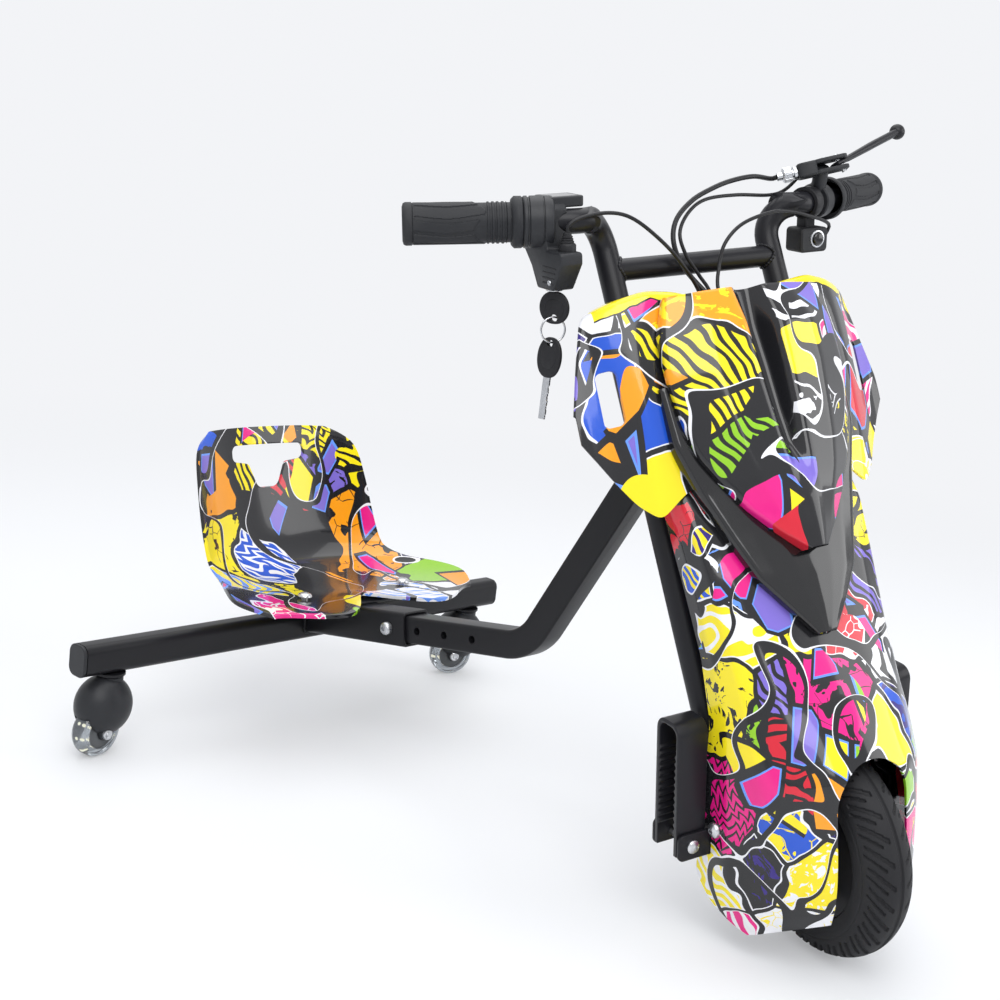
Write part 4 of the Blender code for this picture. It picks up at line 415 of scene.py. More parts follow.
def panelGrid(rows, step, reach):
    # rows of points (a coarse half panel, middle first) to a dense whole panel with softened ridges
    rows = np.asarray(rows, float)
    mirrored = np.concatenate([rows[:, :0:-1] * (1, -1, 1), rows], axis=1)
    dense = straight(mirrored, numbers(mirrored, step))
    dense = swap(straight(swap(dense), numbers(swap(mirrored), step)))
    if reach:
        dense = softened(dense, reach)
        dense = swap(softened(swap(dense), reach))
    return dense


def pieceOf(name, points, faces, finish, body):
    data = bpy.data.meshes.new(name)
    data.from_pydata(np.asarray(points, float).tolist(), [], [list(face) for face in faces])
    data.materials.append(finishes[finish])
    data.update()
    piece = bpy.data.objects.new(name, data)
    bpy.context.scene.collection.objects.link(piece)
    data.shade_smooth()
    piece["rideOn"] = body
    return piece


def gridFaces(count, across, wrapCount=False, wrapAcross=False):
    i, j = np.meshgrid(np.arange(count if wrapCount else count - 1), np.arange(across if wrapAcross else across - 1),
                       indexing="ij")
    a = i * across + j
    b = i * across + (j + 1) % across
    c = ((i + 1) % count) * across + (j + 1) % across
    d = ((i + 1) % count) * across + j
    return np.stack([a, b, c, d], axis=-1).reshape(-1, 4)


def skin(name, grid, finish, body, wall):
    # a sheet over a grid of points, given a wall that is centred on the sheet
    count, across = grid.shape[:2]
    piece = pieceOf(name, grid.reshape(-1, 3), gridFaces(count, across), finish, body)
    thick = piece.modifiers.new("wall", "SOLIDIFY")
    thick.thickness = wall
    thick.offset = 0.0
    thick.use_even_offset = False
    return piece


def framesAlong(path):
    # unit directions along a path, and two cross directions carried along it without twist
    path = np.asarray(path, float)
    ahead = np.gradient(path, axis=0)
    ahead /= np.linalg.norm(ahead, axis=1)[:, None]
    side = np.cross(ahead[0], (0.0, 0.0, 1.0))
    if np.linalg.norm(side) < 0.1:
        side = np.cross(ahead[0], (1.0, 0.0, 0.0))
    sides = []
    for direction in ahead:
        side = side - direction * (side @ direction)
        side = side / np.linalg.norm(side)
        sides.append(side)
    sides = np.array(sides)
    return ahead, sides, np.cross(ahead, sides)


def cappedFaces(count, sides):
    # quads round a tube of so many rings, and a cap at each end
    faces = [list(face) for face in gridFaces(count, sides, wrapAcross=True)]
    return faces + [list(range(sides))[::-1], list(range((count - 1) * sides, count * sides))]


def tube(name, path, radius, finish, body, sides=24):
    # a ring carried along a path and closed at its ends
    path = np.asarray(path, float)
    _, right, over = framesAlong(path)
    angles = np.linspace(0, math.tau, sides, endpoint=False)
    outline = np.stack([np.cos(angles), np.sin(angles)], axis=-1)
    radius = np.broadcast_to(np.asarray(radius, float), (len(path),))
    grid = (path[:, None] + radius[:, None, None] * (outline[None, :, :1] * right[:, None]
                                                      + outline[None, :, 1:] * over[:, None]))
    return tidy(pieceOf(name, grid.reshape(-1, 3), cappedFaces(len(path), sides), finish, body))


def tidy(piece, angle=40.0):
    # faces outward, creases kept sharp
    shape = bmesh.new()
    shape.from_mesh(piece.data)
    bmesh.ops.remove_doubles(shape, verts=shape.verts, dist=1e-6)
    bmesh.ops.recalc_face_normals(shape, faces=shape.faces)
    shape.to_mesh(piece.data)
    shape.free()
    return smoothed(piece, angle)


def smoothed(piece, angle):
    piece.data.shade_smooth()
    piece.data.set_sharp_from_angle(angle=math.radians(angle))
    return piece


def roundEdges(piece, width, segments, angle):
    # a small bevel on every edge sharper than the angle
    edge = piece.modifiers.new("edge", "BEVEL")
    edge.width = width
    edge.segments = segments
    edge.limit_method = "ANGLE"
    edge.angle_limit = math.radians(angle)
    return edge


def axisFrame(at, axis):
    # a 3 by 3 turn whose third column is the axis, and where it stands
    axis = np.asarray(axis, float) / np.linalg.norm(axis)
    first = np.cross((0.0, 0.0, 1.0), axis)
    if np.linalg.norm(first) < 0.1:
        first = np.cross((1.0, 0.0, 0.0), axis)
    first /= np.linalg.norm(first)
    return np.stack([first, np.cross(axis, first), axis], axis=1), np.asarray(at, float)


def lathe(name, profile, at, axis, finish, body, sides=64, closed=False):
    # a profile of (radius, height) turned about an axis
    turn, start = axisFrame(at, axis)
    profile = np.asarray(profile, float)
    angles = np.linspace(0, math.tau, sides, endpoint=False)
    ring = np.stack([np.cos(angles), np.sin(angles)], axis=-1)
    grid = np.concatenate([profile[:, None, :1] * ring[None], np.broadcast_to(profile[:, None, 1:],
                                                                              (len(profile), sides, 1))], axis=-1)
    grid = grid @ turn.T + start
    faces = gridFaces(len(profile), sides, wrapCount=closed, wrapAcross=True)
    return tidy(pieceOf(name, grid.reshape(-1, 3), faces, finish, body), 35.0)


def plate(name, outline, depth, frameAt, finish, body, bevel=0.0008, segments=3):
    # a flat outline in x and y of a frame, given a depth along its z, both ways from the middle
    turn, start = frameAt
    outline = np.asarray(outline, float)
    count = len(outline)
    flat = np.concatenate([np.column_stack([outline, np.full(count, z)]) for z in (-depth / 2, depth / 2)])
    faces = [list(range(count))[::-1], list(range(count, 2 * count))]
    faces += [[i, (i + 1) % count, count + (i + 1) % count, count + i] for i in range(count)]
    piece = pieceOf(name, flat @ np.asarray(turn).T + start, faces, finish, body)
    tidy(piece)
    if bevel:
        roundEdges(piece, bevel, segments, 30).harden_normals = True
    return piece


def roundedBox(size, corner, steps=6):
    # outline of a rectangle with round corners, counter-clockwise
    width, height = size
    points = []
    for cx, cy, start in ((1, 1, 0), (-1, 1, 90), (-1, -1, 180), (1, -1, 270)):
        for angle in np.radians(np.linspace(start, start + 90, steps)):
            points.append((cx * (width / 2 - corner) + corner * math.cos(angle),
                           cy * (height / 2 - corner) + corner * math.sin(angle)))
    return np.array(points)


def rounded(corners, radii, steps=10):
    # an open path whose inner corners are replaced by arcs
    corners = [np.asarray(corner, float) for corner in corners]
    path = [corners[0]]
    for before, corner, after, radius in zip(corners, corners[1:], corners[2:], radii):
        back = (before - corner) / np.linalg.norm(before - corner)
        ahead = (after - corner) / np.linalg.norm(after - corner)
        half = math.acos(np.clip(back @ ahead, -1, 1)) / 2
        reach = radius / math.tan(half)
        centre = corner + (back + ahead) / np.linalg.norm(back + ahead) * (radius / math.sin(half))
        first, last = corner + back * reach - centre, corner + ahead * reach - centre
        sweep = math.pi - 2 * half
        for share in np.linspace(0, 1, steps):
            path.append(centre + (math.sin((1 - share) * sweep) * first + math.sin(share * sweep) * last)
                        / math.sin(sweep))
    return np.array(path + [corners[-1]])


def evenly(path, step):
    # the same path with points about one step apart
    path = np.asarray(path, float)
    gaps = np.linalg.norm(np.diff(path, axis=0), axis=1)
    keep = np.concatenate([[True], gaps > 1e-7])
    path, gaps = path[keep], gaps[gaps > 1e-7]
    length = np.concatenate([[0], np.cumsum(gaps)])
    at = np.linspace(0, length[-1], max(2, int(round(length[-1] / step)) + 1))
    return np.stack([np.interp(at, length, path[:, k]) for k in range(3)], axis=-1)


def flowing(points, step):
    # a smooth path through the points
    points = np.asarray(points, float)
    return evenly(curved(points, np.linspace(0, len(points) - 1, 12 * len(points))), step)


def merge(piece, other, operation):
    # adds one shape to another or cuts it out, and leaves a plain mesh
    change = piece.modifiers.new("change", "BOOLEAN")
    change.operation = operation
    change.solver = "EXACT"
    change.object = other
    settle(piece)
    bpy.data.objects.remove(other, do_unlink=True)


def cutBy(piece, cutter):
    merge(piece, cutter, "DIFFERENCE")


def settle(piece):
    # the piece's modifiers become its mesh
    bpy.context.view_layer.update()
    shaped = bpy.data.meshes.new_from_object(piece.evaluated_get(bpy.context.evaluated_depsgraph_get()))
    piece.modifiers.clear()
    piece.data = shaped
    return piece


def mount(piece, body=None, *nodes):
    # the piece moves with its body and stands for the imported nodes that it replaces
    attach(piece, body or piece["rideOn"])
    if nodes:
        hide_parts(*nodes)
    return piece


def dress(finish, *names):
    for name in names:
        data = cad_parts[name].data
        data.materials.clear()
        data.materials.append(finishes[finish])


# Seat shell

seat = {
    # centre x and z, half width, edge x and z, from the top rim to the front lip, about the crossbar
    "rows": [(-0.112, 0.317, 0.088, -0.104, 0.314), (-0.109, 0.303, 0.117, -0.082, 0.300),
             (-0.099, 0.262, 0.126, -0.062, 0.258), (-0.087, 0.222, 0.129, -0.045, 0.216),
             (-0.071, 0.187, 0.131, -0.028, 0.184), (-0.046, 0.165, 0.134, -0.012, 0.176),
             (-0.010, 0.1585, 0.143, 0.012, 0.172), (0.030, 0.1572, 0.160, 0.042, 0.172),
             (0.062, 0.1590, 0.172, 0.076, 0.169), (0.084, 0.1620, 0.150, 0.112, 0.162)],
    "wall": 0.0040, "lobe": 0.052, "slotHalf": 0.054, "slot": (0.279, 0.297), "lobeHalf": 0.016, "lobeLow": 0.247,
    "boltX": 0.072, "boltY": 0.075, "bolt": 0.0040, "strapTop": 0.1556, "strapWall": 0.0034, "panTop": 0.1655,
}


def seatGrid():
    across, step = 89, 0.006  # points across, and the distance between rows
    # each row bows from its centre point to its edge point as the 2.4th power of the way across;
    # the front lip also runs ahead in two lobes, a raised sine over each half
    rows = np.array(seat["rows"])
    at = numbers(np.stack([rows[:, [0, 1]], rows[:, [3, 4]]], axis=1), step)
    centreX, centreZ, half, edgeX, edgeZ = (curved(rows, at)[:, k][:, None] for k in range(5))
    share = np.linspace(-1, 1, across)[None]
    size = np.abs(share)
    bow = size ** 2.4
    lobe = seat["lobe"] * np.sin(np.pi * size ** 0.9) ** 1.4 * np.clip(at - (len(rows) - 2), 0, 1)[:, None]
    return np.stack([crossbarX + centreX + (edgeX - centreX) * bow + lobe, half * share,
                     centreZ + (edgeZ - centreZ) * bow], axis=-1)


def slotOutline():
    # a wide slot with a hanging lobe, its corners rounded
    half, (low, high), lobe, bottom = seat["slotHalf"], seat["slot"], seat["lobeHalf"], seat["lobeLow"]
    corners = [(half, high), (-half, high), (-half, low), (-lobe - 0.012, low - 0.004), (-lobe, bottom),
               (lobe, bottom), (lobe + 0.012, low - 0.004), (half, low)]
    flat = [(0.0, y, z) for y, z in corners]
    path = []
    for i in range(len(flat)):
        trio = [flat[i - 1], flat[i], flat[(i + 1) % len(flat)]]
        path.append(rounded(trio, [0.0075 if i in (0, 1, 2, 7) else 0.011 if i in (4, 5) else 0.006], 6)[1:-1])
    return np.concatenate(path)[:, 1:]


def makeSeat():
    shell = skin("seatShell", softened(seatGrid(), 3), "seatPrint", "frame", wall=seat["wall"])
    settle(shell)
    slot = plate("seatSlot", slotOutline(), 0.10, (facingAhead, (crossbarX - 0.10, 0, 0)), "seatPrint", "frame", 0)
    cutBy(shell, slot)
    for side in (-1, 1):
        hole = tube("panHole", [(crossbarX + seat["boltX"], side * seat["boltY"], z) for z in (0.12, 0.20)],
                    seat["bolt"], "seatPrint", "frame")
        cutBy(shell, hole)
    roundEdges(shell, 0.0012, 3, 50)
    settle(shell)
    return mount(smoothed(shell, 40), "frame", "seat_shell")


makeSeat()
print("seat made")

# Fairing, in the raked frame: rows of a height along the axis and points (ahead, side)

wheel = {"tyre": 0.100, "width": 0.050, "ahead": 0.0052, "hubHalf": 0.030}
shells = {
    "wall": 0.0025, "coverWall": 0.0024, "arch": wheel["width"] / 2 + 0.0125, "archTop": 0.179,
    "coverHalf": 0.076 + 0.0125 + clearance + 0.004 + clearance + 0.0012,  # leg, peg bracket, half the wall
    "pegBolt": (-0.0125, 0.143), "wingSlot": (0.1270, 0.1425, 0.497, 0.545), "lipGap": 0.0005,
}
coverHalf = shells["coverHalf"]
coverRows = [
    (0.446, (0.0497, 0.0), (0.0495, 0.040), (0.0470, 0.074), (0.0410, 0.091), (0.0300, 0.0945), (0.0180, 0.093)),
    (0.400, (0.0570, 0.0), (0.0565, 0.040), (0.0565, 0.072), (0.0550, 0.091), (0.0360, 0.0940), (0.0180, 0.091)),
    (0.350, (0.0680, 0.0), (0.0670, 0.038), (0.0645, 0.068), (0.0570, 0.087), (0.0360, 0.0910), (0.0180, 0.089)),
    (0.290, (0.0740, 0.0), (0.0730, 0.036), (0.0680, 0.064), (0.0560, 0.084), (0.0360, 0.0895), (0.0180, 0.088)),
    (0.235, (0.0830, 0.0), (0.0810, 0.036), (0.0740, 0.062), (0.0570, 0.083), (0.0340, 0.0905), (0.0140, 0.092)),
    (0.205, (0.0925, 0.0), (0.0880, 0.036), (0.0780, 0.061), (0.0575, 0.084), (0.0280, 0.0935), (0.0000, coverHalf)),
    (0.168, (0.1000, 0.0), (0.0950, 0.038), (0.0800, 0.061), (0.0560, 0.083), (0.0150, coverHalf),
     (-0.020, coverHalf)),
    (0.135, (0.0870, 0.0), (0.0825, 0.038), (0.0690, 0.060), (0.0470, 0.080), (0.0000, coverHalf),
     (-0.044, coverHalf)),
    (0.105, (0.0760, 0.0), (0.0715, 0.038), (0.0580, 0.058), (0.0340, 0.078), (-0.016, coverHalf),
     (-0.060, coverHalf)),
    (0.080, (0.0660, 0.0), (0.0610, 0.038), (0.0480, 0.057), (0.0220, 0.075), (-0.018, 0.0905), (-0.050, 0.0930)),
    (0.060, (0.0540, 0.0), (0.0500, 0.038), (0.0340, 0.055), (0.0110, 0.071), (-0.013, 0.0840), (-0.034, 0.0880)),
    (0.048, (0.0430, 0.0), (0.0400, 0.039), (0.0200, 0.053), (0.0020, 0.067), (-0.010, 0.0780), (-0.021, 0.0820)),
]
wingColumns = [   # side, lower edge, upper edge, ahead at the lower edge, the middle and the upper edge
    (0.000, 0.440, 0.586, 0.0535, 0.0580, 0.0640), (0.030, 0.440, 0.592, 0.0535, 0.0580, 0.0650),
    (0.060, 0.438, 0.602, 0.0533, 0.0577, 0.0660), (0.088, 0.430, 0.606, 0.0518, 0.0592, 0.0640),
    (0.112, 0.412, 0.6025, 0.0428, 0.0562, 0.0560), (0.128, 0.428, 0.5985, 0.0360, 0.0460, 0.0460),
    (0.1415, 0.4505, 0.5930, 0.0310, 0.0360, 0.0360), (0.154, 0.4720, 0.5500, 0.0290, 0.0310, 0.0310),
    (0.164, 0.4880, 0.5120, 0.0280, 0.0285, 0.0280),
]
shieldRows = [
    (0.5960, (0.0740, 0.0), (0.0740, 0.006), (0.0860, 0.018), (0.0820, 0.045), (0.0740, 0.078)),
    (0.5620, (0.0740, 0.0), (0.0740, 0.006), (0.0970, 0.018), (0.0920, 0.054), (0.0740, 0.0905)),
    (0.5250, (0.0780, 0.0), (0.0780, 0.006), (0.0985, 0.017), (0.0930, 0.054), (0.0735, 0.0925)),
    (0.4850, (0.0820, 0.0), (0.0820, 0.005), (0.0995, 0.015), (0.0935, 0.050), (0.0730, 0.0870)),
    (0.4550, (0.0870, 0.0), (0.0870, 0.004), (0.1000, 0.013), (0.0940, 0.046), (0.0740, 0.0795)),
    (0.4320, (0.0985, 0.0), (0.0985, 0.004), (0.1010, 0.012), (0.0950, 0.040), (0.0780, 0.0670)),
    (0.4050, (0.1040, 0.0), (0.1035, 0.005), (0.1010, 0.013), (0.0950, 0.030), (0.0830, 0.0490)),
    (0.3800, (0.1040, 0.0), (0.1030, 0.004), (0.1010, 0.009), (0.0960, 0.018), (0.0910, 0.0270)),
    (0.3620, (0.1020, 0.0), (0.1018, 0.002), (0.1010, 0.004), (0.1000, 0.006), (0.0990, 0.0080)),
]
panelRows = [
    (0.520, (0.0665, 0.0), (0.0665, 0.035), (0.0665, 0.070), (0.0655, 0.0975)),
    (0.467, (0.0680, 0.0), (0.0680, 0.034), (0.0675, 0.068), (0.0650, 0.0955)),
    (0.4256, (0.0730, 0.0), (0.0725, 0.030), (0.0710, 0.060), (0.0650, 0.0820)),
    (0.385, (0.0800, 0.0), (0.0790, 0.024), (0.0760, 0.046), (0.0700, 0.0670)),
    (0.3436, (0.0850, 0.0), (0.0840, 0.018), (0.0810, 0.035), (0.0760, 0.0505)),
    (0.315, (0.0850, 0.0), (0.0845, 0.010), (0.0830, 0.020), (0.0800, 0.0290)),
    (0.290, (0.0830, 0.0), (0.0830, 0.003), (0.0825, 0.006), (0.0820, 0.0090)),
]


def gridOf(table):
    return np.array([[(ahead, side, height) for ahead, side in points] for height, *points in table])


def wingGrid():
    levels = 13
    # each column runs from its lower to its upper edge and bows towards its middle value
    side, low, high, aheadLow, aheadMiddle, aheadHigh = (np.array(wingColumns)[:, k][None] for k in range(6))
    share = np.linspace(0, 1, levels)[:, None]
    ahead = (aheadLow + (aheadHigh - aheadLow) * share
             + (aheadMiddle - (aheadLow + aheadHigh) / 2) * 4 * share * (1 - share))
    grid = np.stack([ahead, np.broadcast_to(side, ahead.shape), low + (high - low) * share], axis=-1)
    # the top folds back into a rim that closes on the cables near the middle
    end = np.where(side < 0.045, 0.052, 0.032)
    back = np.clip((0.150 - side) / 0.04, 0, 1) * (aheadHigh - end)
    rim = np.stack([aheadHigh - back - 0.0012, side, high + 0.0010 + 0.10 * back], axis=-1)
    return grid, rim


def aheadAt(grid, side, height):
    # how far ahead a coarse half panel lies at a side and height, held to its first and last rows
    heights = grid[:, 0, 2]
    order = np.argsort(heights)
    at = np.interp(height, heights[order], order.astype(float))
    row = straight(grid, np.array([at]))[0]
    return float(np.interp(side, row[:, 1], row[:, 0]))


def withLip(table, seatAt):
    # the edge of each row folds back to the shell behind it
    grid = gridOf(table)
    lip = []
    for row in grid:
        side, height = row[-1, 1] - 0.0008, row[-1, 2]
        lip.append((seatAt(side, height) + shells["wall"] / 2 + shells["lipGap"], side, height))
    return np.concatenate([grid, np.array(lip)[:, None]], axis=1)


coverGrid, (wingFace, wingRim) = gridOf(coverRows), wingGrid()
panelGridRows = withLip(panelRows, lambda side, height: aheadAt(wingFace if height > 0.420 else coverGrid,
                                                                side, height))
shieldGridRows = withLip(shieldRows, lambda side, height: aheadAt(wingFace if height > 0.526 else gridOf(panelRows),
                                                                    side, height))


def rakedSkin(name, grid, finish, wall):
    return skin(name, fromRaked(grid.reshape(-1, 3)).reshape(grid.shape), finish, "steering", wall)


def finishShell(shell):
    roundEdges(shell, 0.0007, 2, 50)
    settle(shell)
    return smoothed(shell, 42)


def makeFrontCover():
    cover = rakedSkin("frontCover", panelGrid(coverGrid, 0.0035, 3), "coverPrint",
                      shells["coverWall"])
    settle(cover)
    half, top = shells["arch"], shells["archTop"]
    angles = np.linspace(0, np.pi, 33)
    arch = [(half, -0.02)] + [(half * math.cos(a), top - half + half * math.sin(a)) for a in angles] + [(-half, -0.02)]
    ahead = rakedTurn @ facingAhead
    cutBy(cover, plate("wheelArch", arch, 0.16, (ahead, fromRaked([0.08, 0, 0])), "coverPrint", "steering", 0))
    bolt = shells["pegBolt"]
    for side in (-1, 1):
        cutBy(cover, tube("boltHole", fromRaked([(bolt[0], side * y, bolt[1]) for y in (0.05, 0.12)]), 0.0036,
                          "coverPrint", "steering"))
        front = peg["x"] + peg["width"] / 2 + peg["play"] + peg["ear"] + 0.0012
        notch = plate("earNotch", roundedBox((0.06, peg["earHeight"] + 0.002), 0.003), 0.05,
                      (levelTurn @ facingSide,
                       fromLevel([front - 0.03, side * coverHalf, peg["z"]])), "coverPrint", "steering", 0)
        cutBy(cover, notch)
    return mount(finishShell(cover), "steering", "front_cover")


def makeWings():
    rows = np.concatenate([wingFace, wingRim])
    shell = rakedSkin("upperFairing", softenRows(rows), "fairingPrint", shells["wall"])
    settle(shell)
    lowY, highY, lowZ, highZ = shells["wingSlot"]
    for side in (-1, 1):
        outline = roundedBox((highY - lowY, highZ - lowZ), 0.005)
        facing = rakedTurn @ facingAhead
        cutBy(shell, plate("wingSlot", outline, 0.08, (facing, fromRaked([0.035, side * (lowY + highY) / 2,
                                                                            (lowZ + highZ) / 2])),
                           "fairingPrint", "steering", 0))
    return mount(finishShell(shell), "steering", "upper_fairing")


def softenRows(rows):
    # dense whole wing: columns stay faceted with soft ridges, the rim keeps its fold
    mirrored = np.concatenate([rows[:, :0:-1] * (1, -1, 1), rows], axis=1)
    dense = straight(mirrored, numbers(mirrored, 0.0040))
    dense = swap(straight(swap(dense), numbers(swap(mirrored), 0.0035)))
    dense = swap(softened(swap(dense), 3))
    return softened(dense, 2)


peg = {"x": -0.1010, "y": 0.1140, "z": 0.1085, "width": 0.0335, "length": 0.115, "bar": 0.0045, "depth": 0.0300,
       "pin": 0.003, "ear": 0.003, "earHeight": 0.025, "play": 0.0006, "bracket": 0.004}

makeFrontCover()
makeWings()
# the nose shield: its print, with painted shade in the groove
mount(finishShell(rakedSkin("noseShield", panelGrid(shieldGridRows, 0.0030, 2), "shieldPrintGrooveShade", shells["wall"])),
      "steering", "nose_shield")
mount(finishShell(rakedSkin("vPanel", panelGrid(panelGridRows, 0.0030, 2), "gloss", shells["wall"])),
      "steering", "v_panel")


def makeRearCover():
    back, half = -0.056, 0.076 - 0.0125 - clearance - shells["coverWall"] / 2
    section = [(back, 0.0), (back, half * 0.62), (back + 0.010, half - 0.004), (back + 0.022, half), (-0.001, half)]
    grid = np.array([[(ahead, side, height) for ahead, side in section] for height in np.linspace(0.224, 0.418, 5)])
    return mount(finishShell(rakedSkin("rearCover", panelGrid(grid, 0.004, 2), "coverPrint", shells["coverWall"])),
                 "steering", "rear_cover")


makeRearCover()
print("fairing made")


# Bars and controls, in the level frame

bars = {"radius": 0.0111, "uprightY": 0.089, "uprightAhead": 0.0168, "crossRadius": 0.010, "z": 0.6285,
        "inner": (-0.2865, 0.1666), "outer": (-0.3300, 0.2605), "yokeTop": 0.5957, "crossRise": 0.0443,
        "bends": (0.026, 0.024), "turnOut": -0.057}


def levelPoint(ahead, side, height):
    # a point of the raked frame, told in the level one
    return leanTurn @ np.array([ahead, side, height], float)


def gripPoint(distance, side):
    inner, outer = np.array([*bars["inner"], bars["z"]]), np.array([*bars["outer"], bars["z"]])
    point = inner + (outer - inner) / np.linalg.norm(outer - inner) * distance
    return point * (1, side, 1)


gripLength = float(np.hypot(bars["outer"][0] - bars["inner"][0], bars["outer"][1] - bars["inner"][1]))


def gripAxis(side):
    return gripPoint(1.0, side) - gripPoint(0.0, side)


def levelAxis(direction):
    return levelTurn @ np.asarray(direction, float)


def makeBars():
    foot = levelPoint(bars["uprightAhead"], bars["uprightY"], bars["yokeTop"] + clearance)
    rise = levelPoint(0, 0, 1.0)
    top = foot + rise * ((bars["z"] - foot[2]) / rise[2])
    end = gripPoint(gripLength - 0.0043, 1)
    path = rounded([foot, top, gripPoint(bars["turnOut"], 1), end], bars["bends"], 16)
    path = evenly(path, 0.004)
    middle = levelPoint(bars["uprightAhead"], 0.0, bars["yokeTop"] + bars["crossRise"])
    reach = bars["uprightY"] - 0.004
    mount(tube("crossTube", fromLevel([middle - (0, reach, 0), middle + (0, reach, 0)]), bars["crossRadius"], "bar",
               "steering", 40), "steering", "handlebar")
    for name, side in (("barRight", -1), ("barLeft", 1)):
        mount(tube(name, fromLevel(path * (1, side, 1)), bars["radius"], "bar", "steering", 40), "steering",
              "handlebar")
        # the weld bead: a ring round the cross tube where it meets the upright, with small waves
        angle = np.linspace(0, math.tau, 97)[:-1]
        radius = bars["crossRadius"] + 0.0006
        flat = np.stack([radius * np.cos(angle), np.sqrt(np.maximum(bars["radius"] ** 2 - (
            radius * np.cos(angle)) ** 2, 0)), radius * np.sin(angle)], axis=-1)
        points = np.stack([flat[:, 0], side * (bars["uprightY"] - flat[:, 1] - 0.0004), flat[:, 2]], axis=-1)
        points = (points @ leanTurn.T) + middle
        mount(ringTube(name + "Weld", fromLevel(points), 0.0014 * (1 + 0.22 * np.sin(24 * angle)), "bar", "steering"))


def ringTube(name, path, radius, finish, body, sides=10):
    # a closed loop of tube: each cross section lies square to the path
    ahead = np.roll(path, -1, axis=0) - np.roll(path, 1, axis=0)
    ahead /= np.linalg.norm(ahead, axis=1)[:, None]
    out = path - path.mean(axis=0)
    right = out - ahead * (out * ahead).sum(axis=1)[:, None]
    right /= np.linalg.norm(right, axis=1)[:, None]
    over = np.cross(ahead, right)
    angles = np.linspace(0, math.tau, sides, endpoint=False)
    radius = np.broadcast_to(np.asarray(radius, float), (len(path),))[:, None, None]
    grid = path[:, None] + radius * (np.cos(angles)[None, :, None] * right[:, None]
                                     + np.sin(angles)[None, :, None] * over[:, None])
    piece = pieceOf(name, grid.reshape(-1, 3), gridFaces(len(path), sides, wrapCount=True, wrapAcross=True), finish,
                    body)
    return tidy(piece, 60)


grips = {"rightRadius": 0.0186, "leftRadius": 0.0167}


def gripRelief(along, angle, mirror):
    # height of the rubber over its base: rings by the flange, a raised band with waves, long ribs to the end
    share = along / gripLength
    rings = 0.0009 * (np.cos(along * math.tau / 0.0042) > 0.0) * (share < 0.30) * (share > 0.13)
    turn = (angle * mirror + 0.6) % math.tau
    wave = 0.30 + 0.10 * np.abs(np.sin(turn * 1.5)) ** 1.4
    body = np.clip((share - wave) / 0.015, 0, 1)
    ribs = np.cos(turn * 9 + 1.1 * np.sin(share * 7.5)) > -0.55
    groove = np.where(ribs, 1.0, 0.15) * (share < 0.90) + (share >= 0.90)
    step = 0.0010 * body * groove
    return rings + step


def makeGrip(name, side, radius, body, node):
    angles = np.linspace(0, math.tau, 181)[:-1]
    stations = np.linspace(0.0095, gripLength - 0.0095, 230)
    base = radius - 0.0014
    rows = [(0.0, radius + 0.0030), (0.0010, radius + 0.0038), (0.0070, radius + 0.0038), (0.0095, radius + 0.0012)]
    tail = [(gripLength - 0.0090, radius - 0.0010), (gripLength - 0.0080, radius), (gripLength - 0.0030, radius),
            (gripLength - 0.0010, radius - 0.0010), (gripLength, radius - 0.0040), (gripLength, 0.0)]
    profile = []
    for along, size in rows:
        profile.append((np.full_like(angles, along), np.full_like(angles, size)))
    for along in stations:
        profile.append((np.full_like(angles, along), base + gripRelief(along, angles, side)))
    for along, size in tail:
        profile.append((np.full_like(angles, along), np.full_like(angles, size)))
    along = np.array([row[0] for row in profile])
    size = np.array([row[1] for row in profile])
    grid = np.stack([size * np.cos(angles), size * np.sin(angles), along], axis=-1)
    turn, start = axisFrame(fromLevel(gripPoint(0.0, side)), levelAxis(gripAxis(side)))
    grid = grid @ turn.T + start
    piece = pieceOf(name, grid.reshape(-1, 3), gridFaces(*grid.shape[:2], wrapAcross=True), "grip", body)
    return mount(tidy(piece, 48), body, node)


def makeCable(name, points, radius, node):
    # a control cable: it leaves its control in an open arc and goes back into the fairing
    path = fromLevel(flowing(points, 0.004))
    piece = mount(tube(name, path, radius, "sheath", "steering", 16), "steering", node)


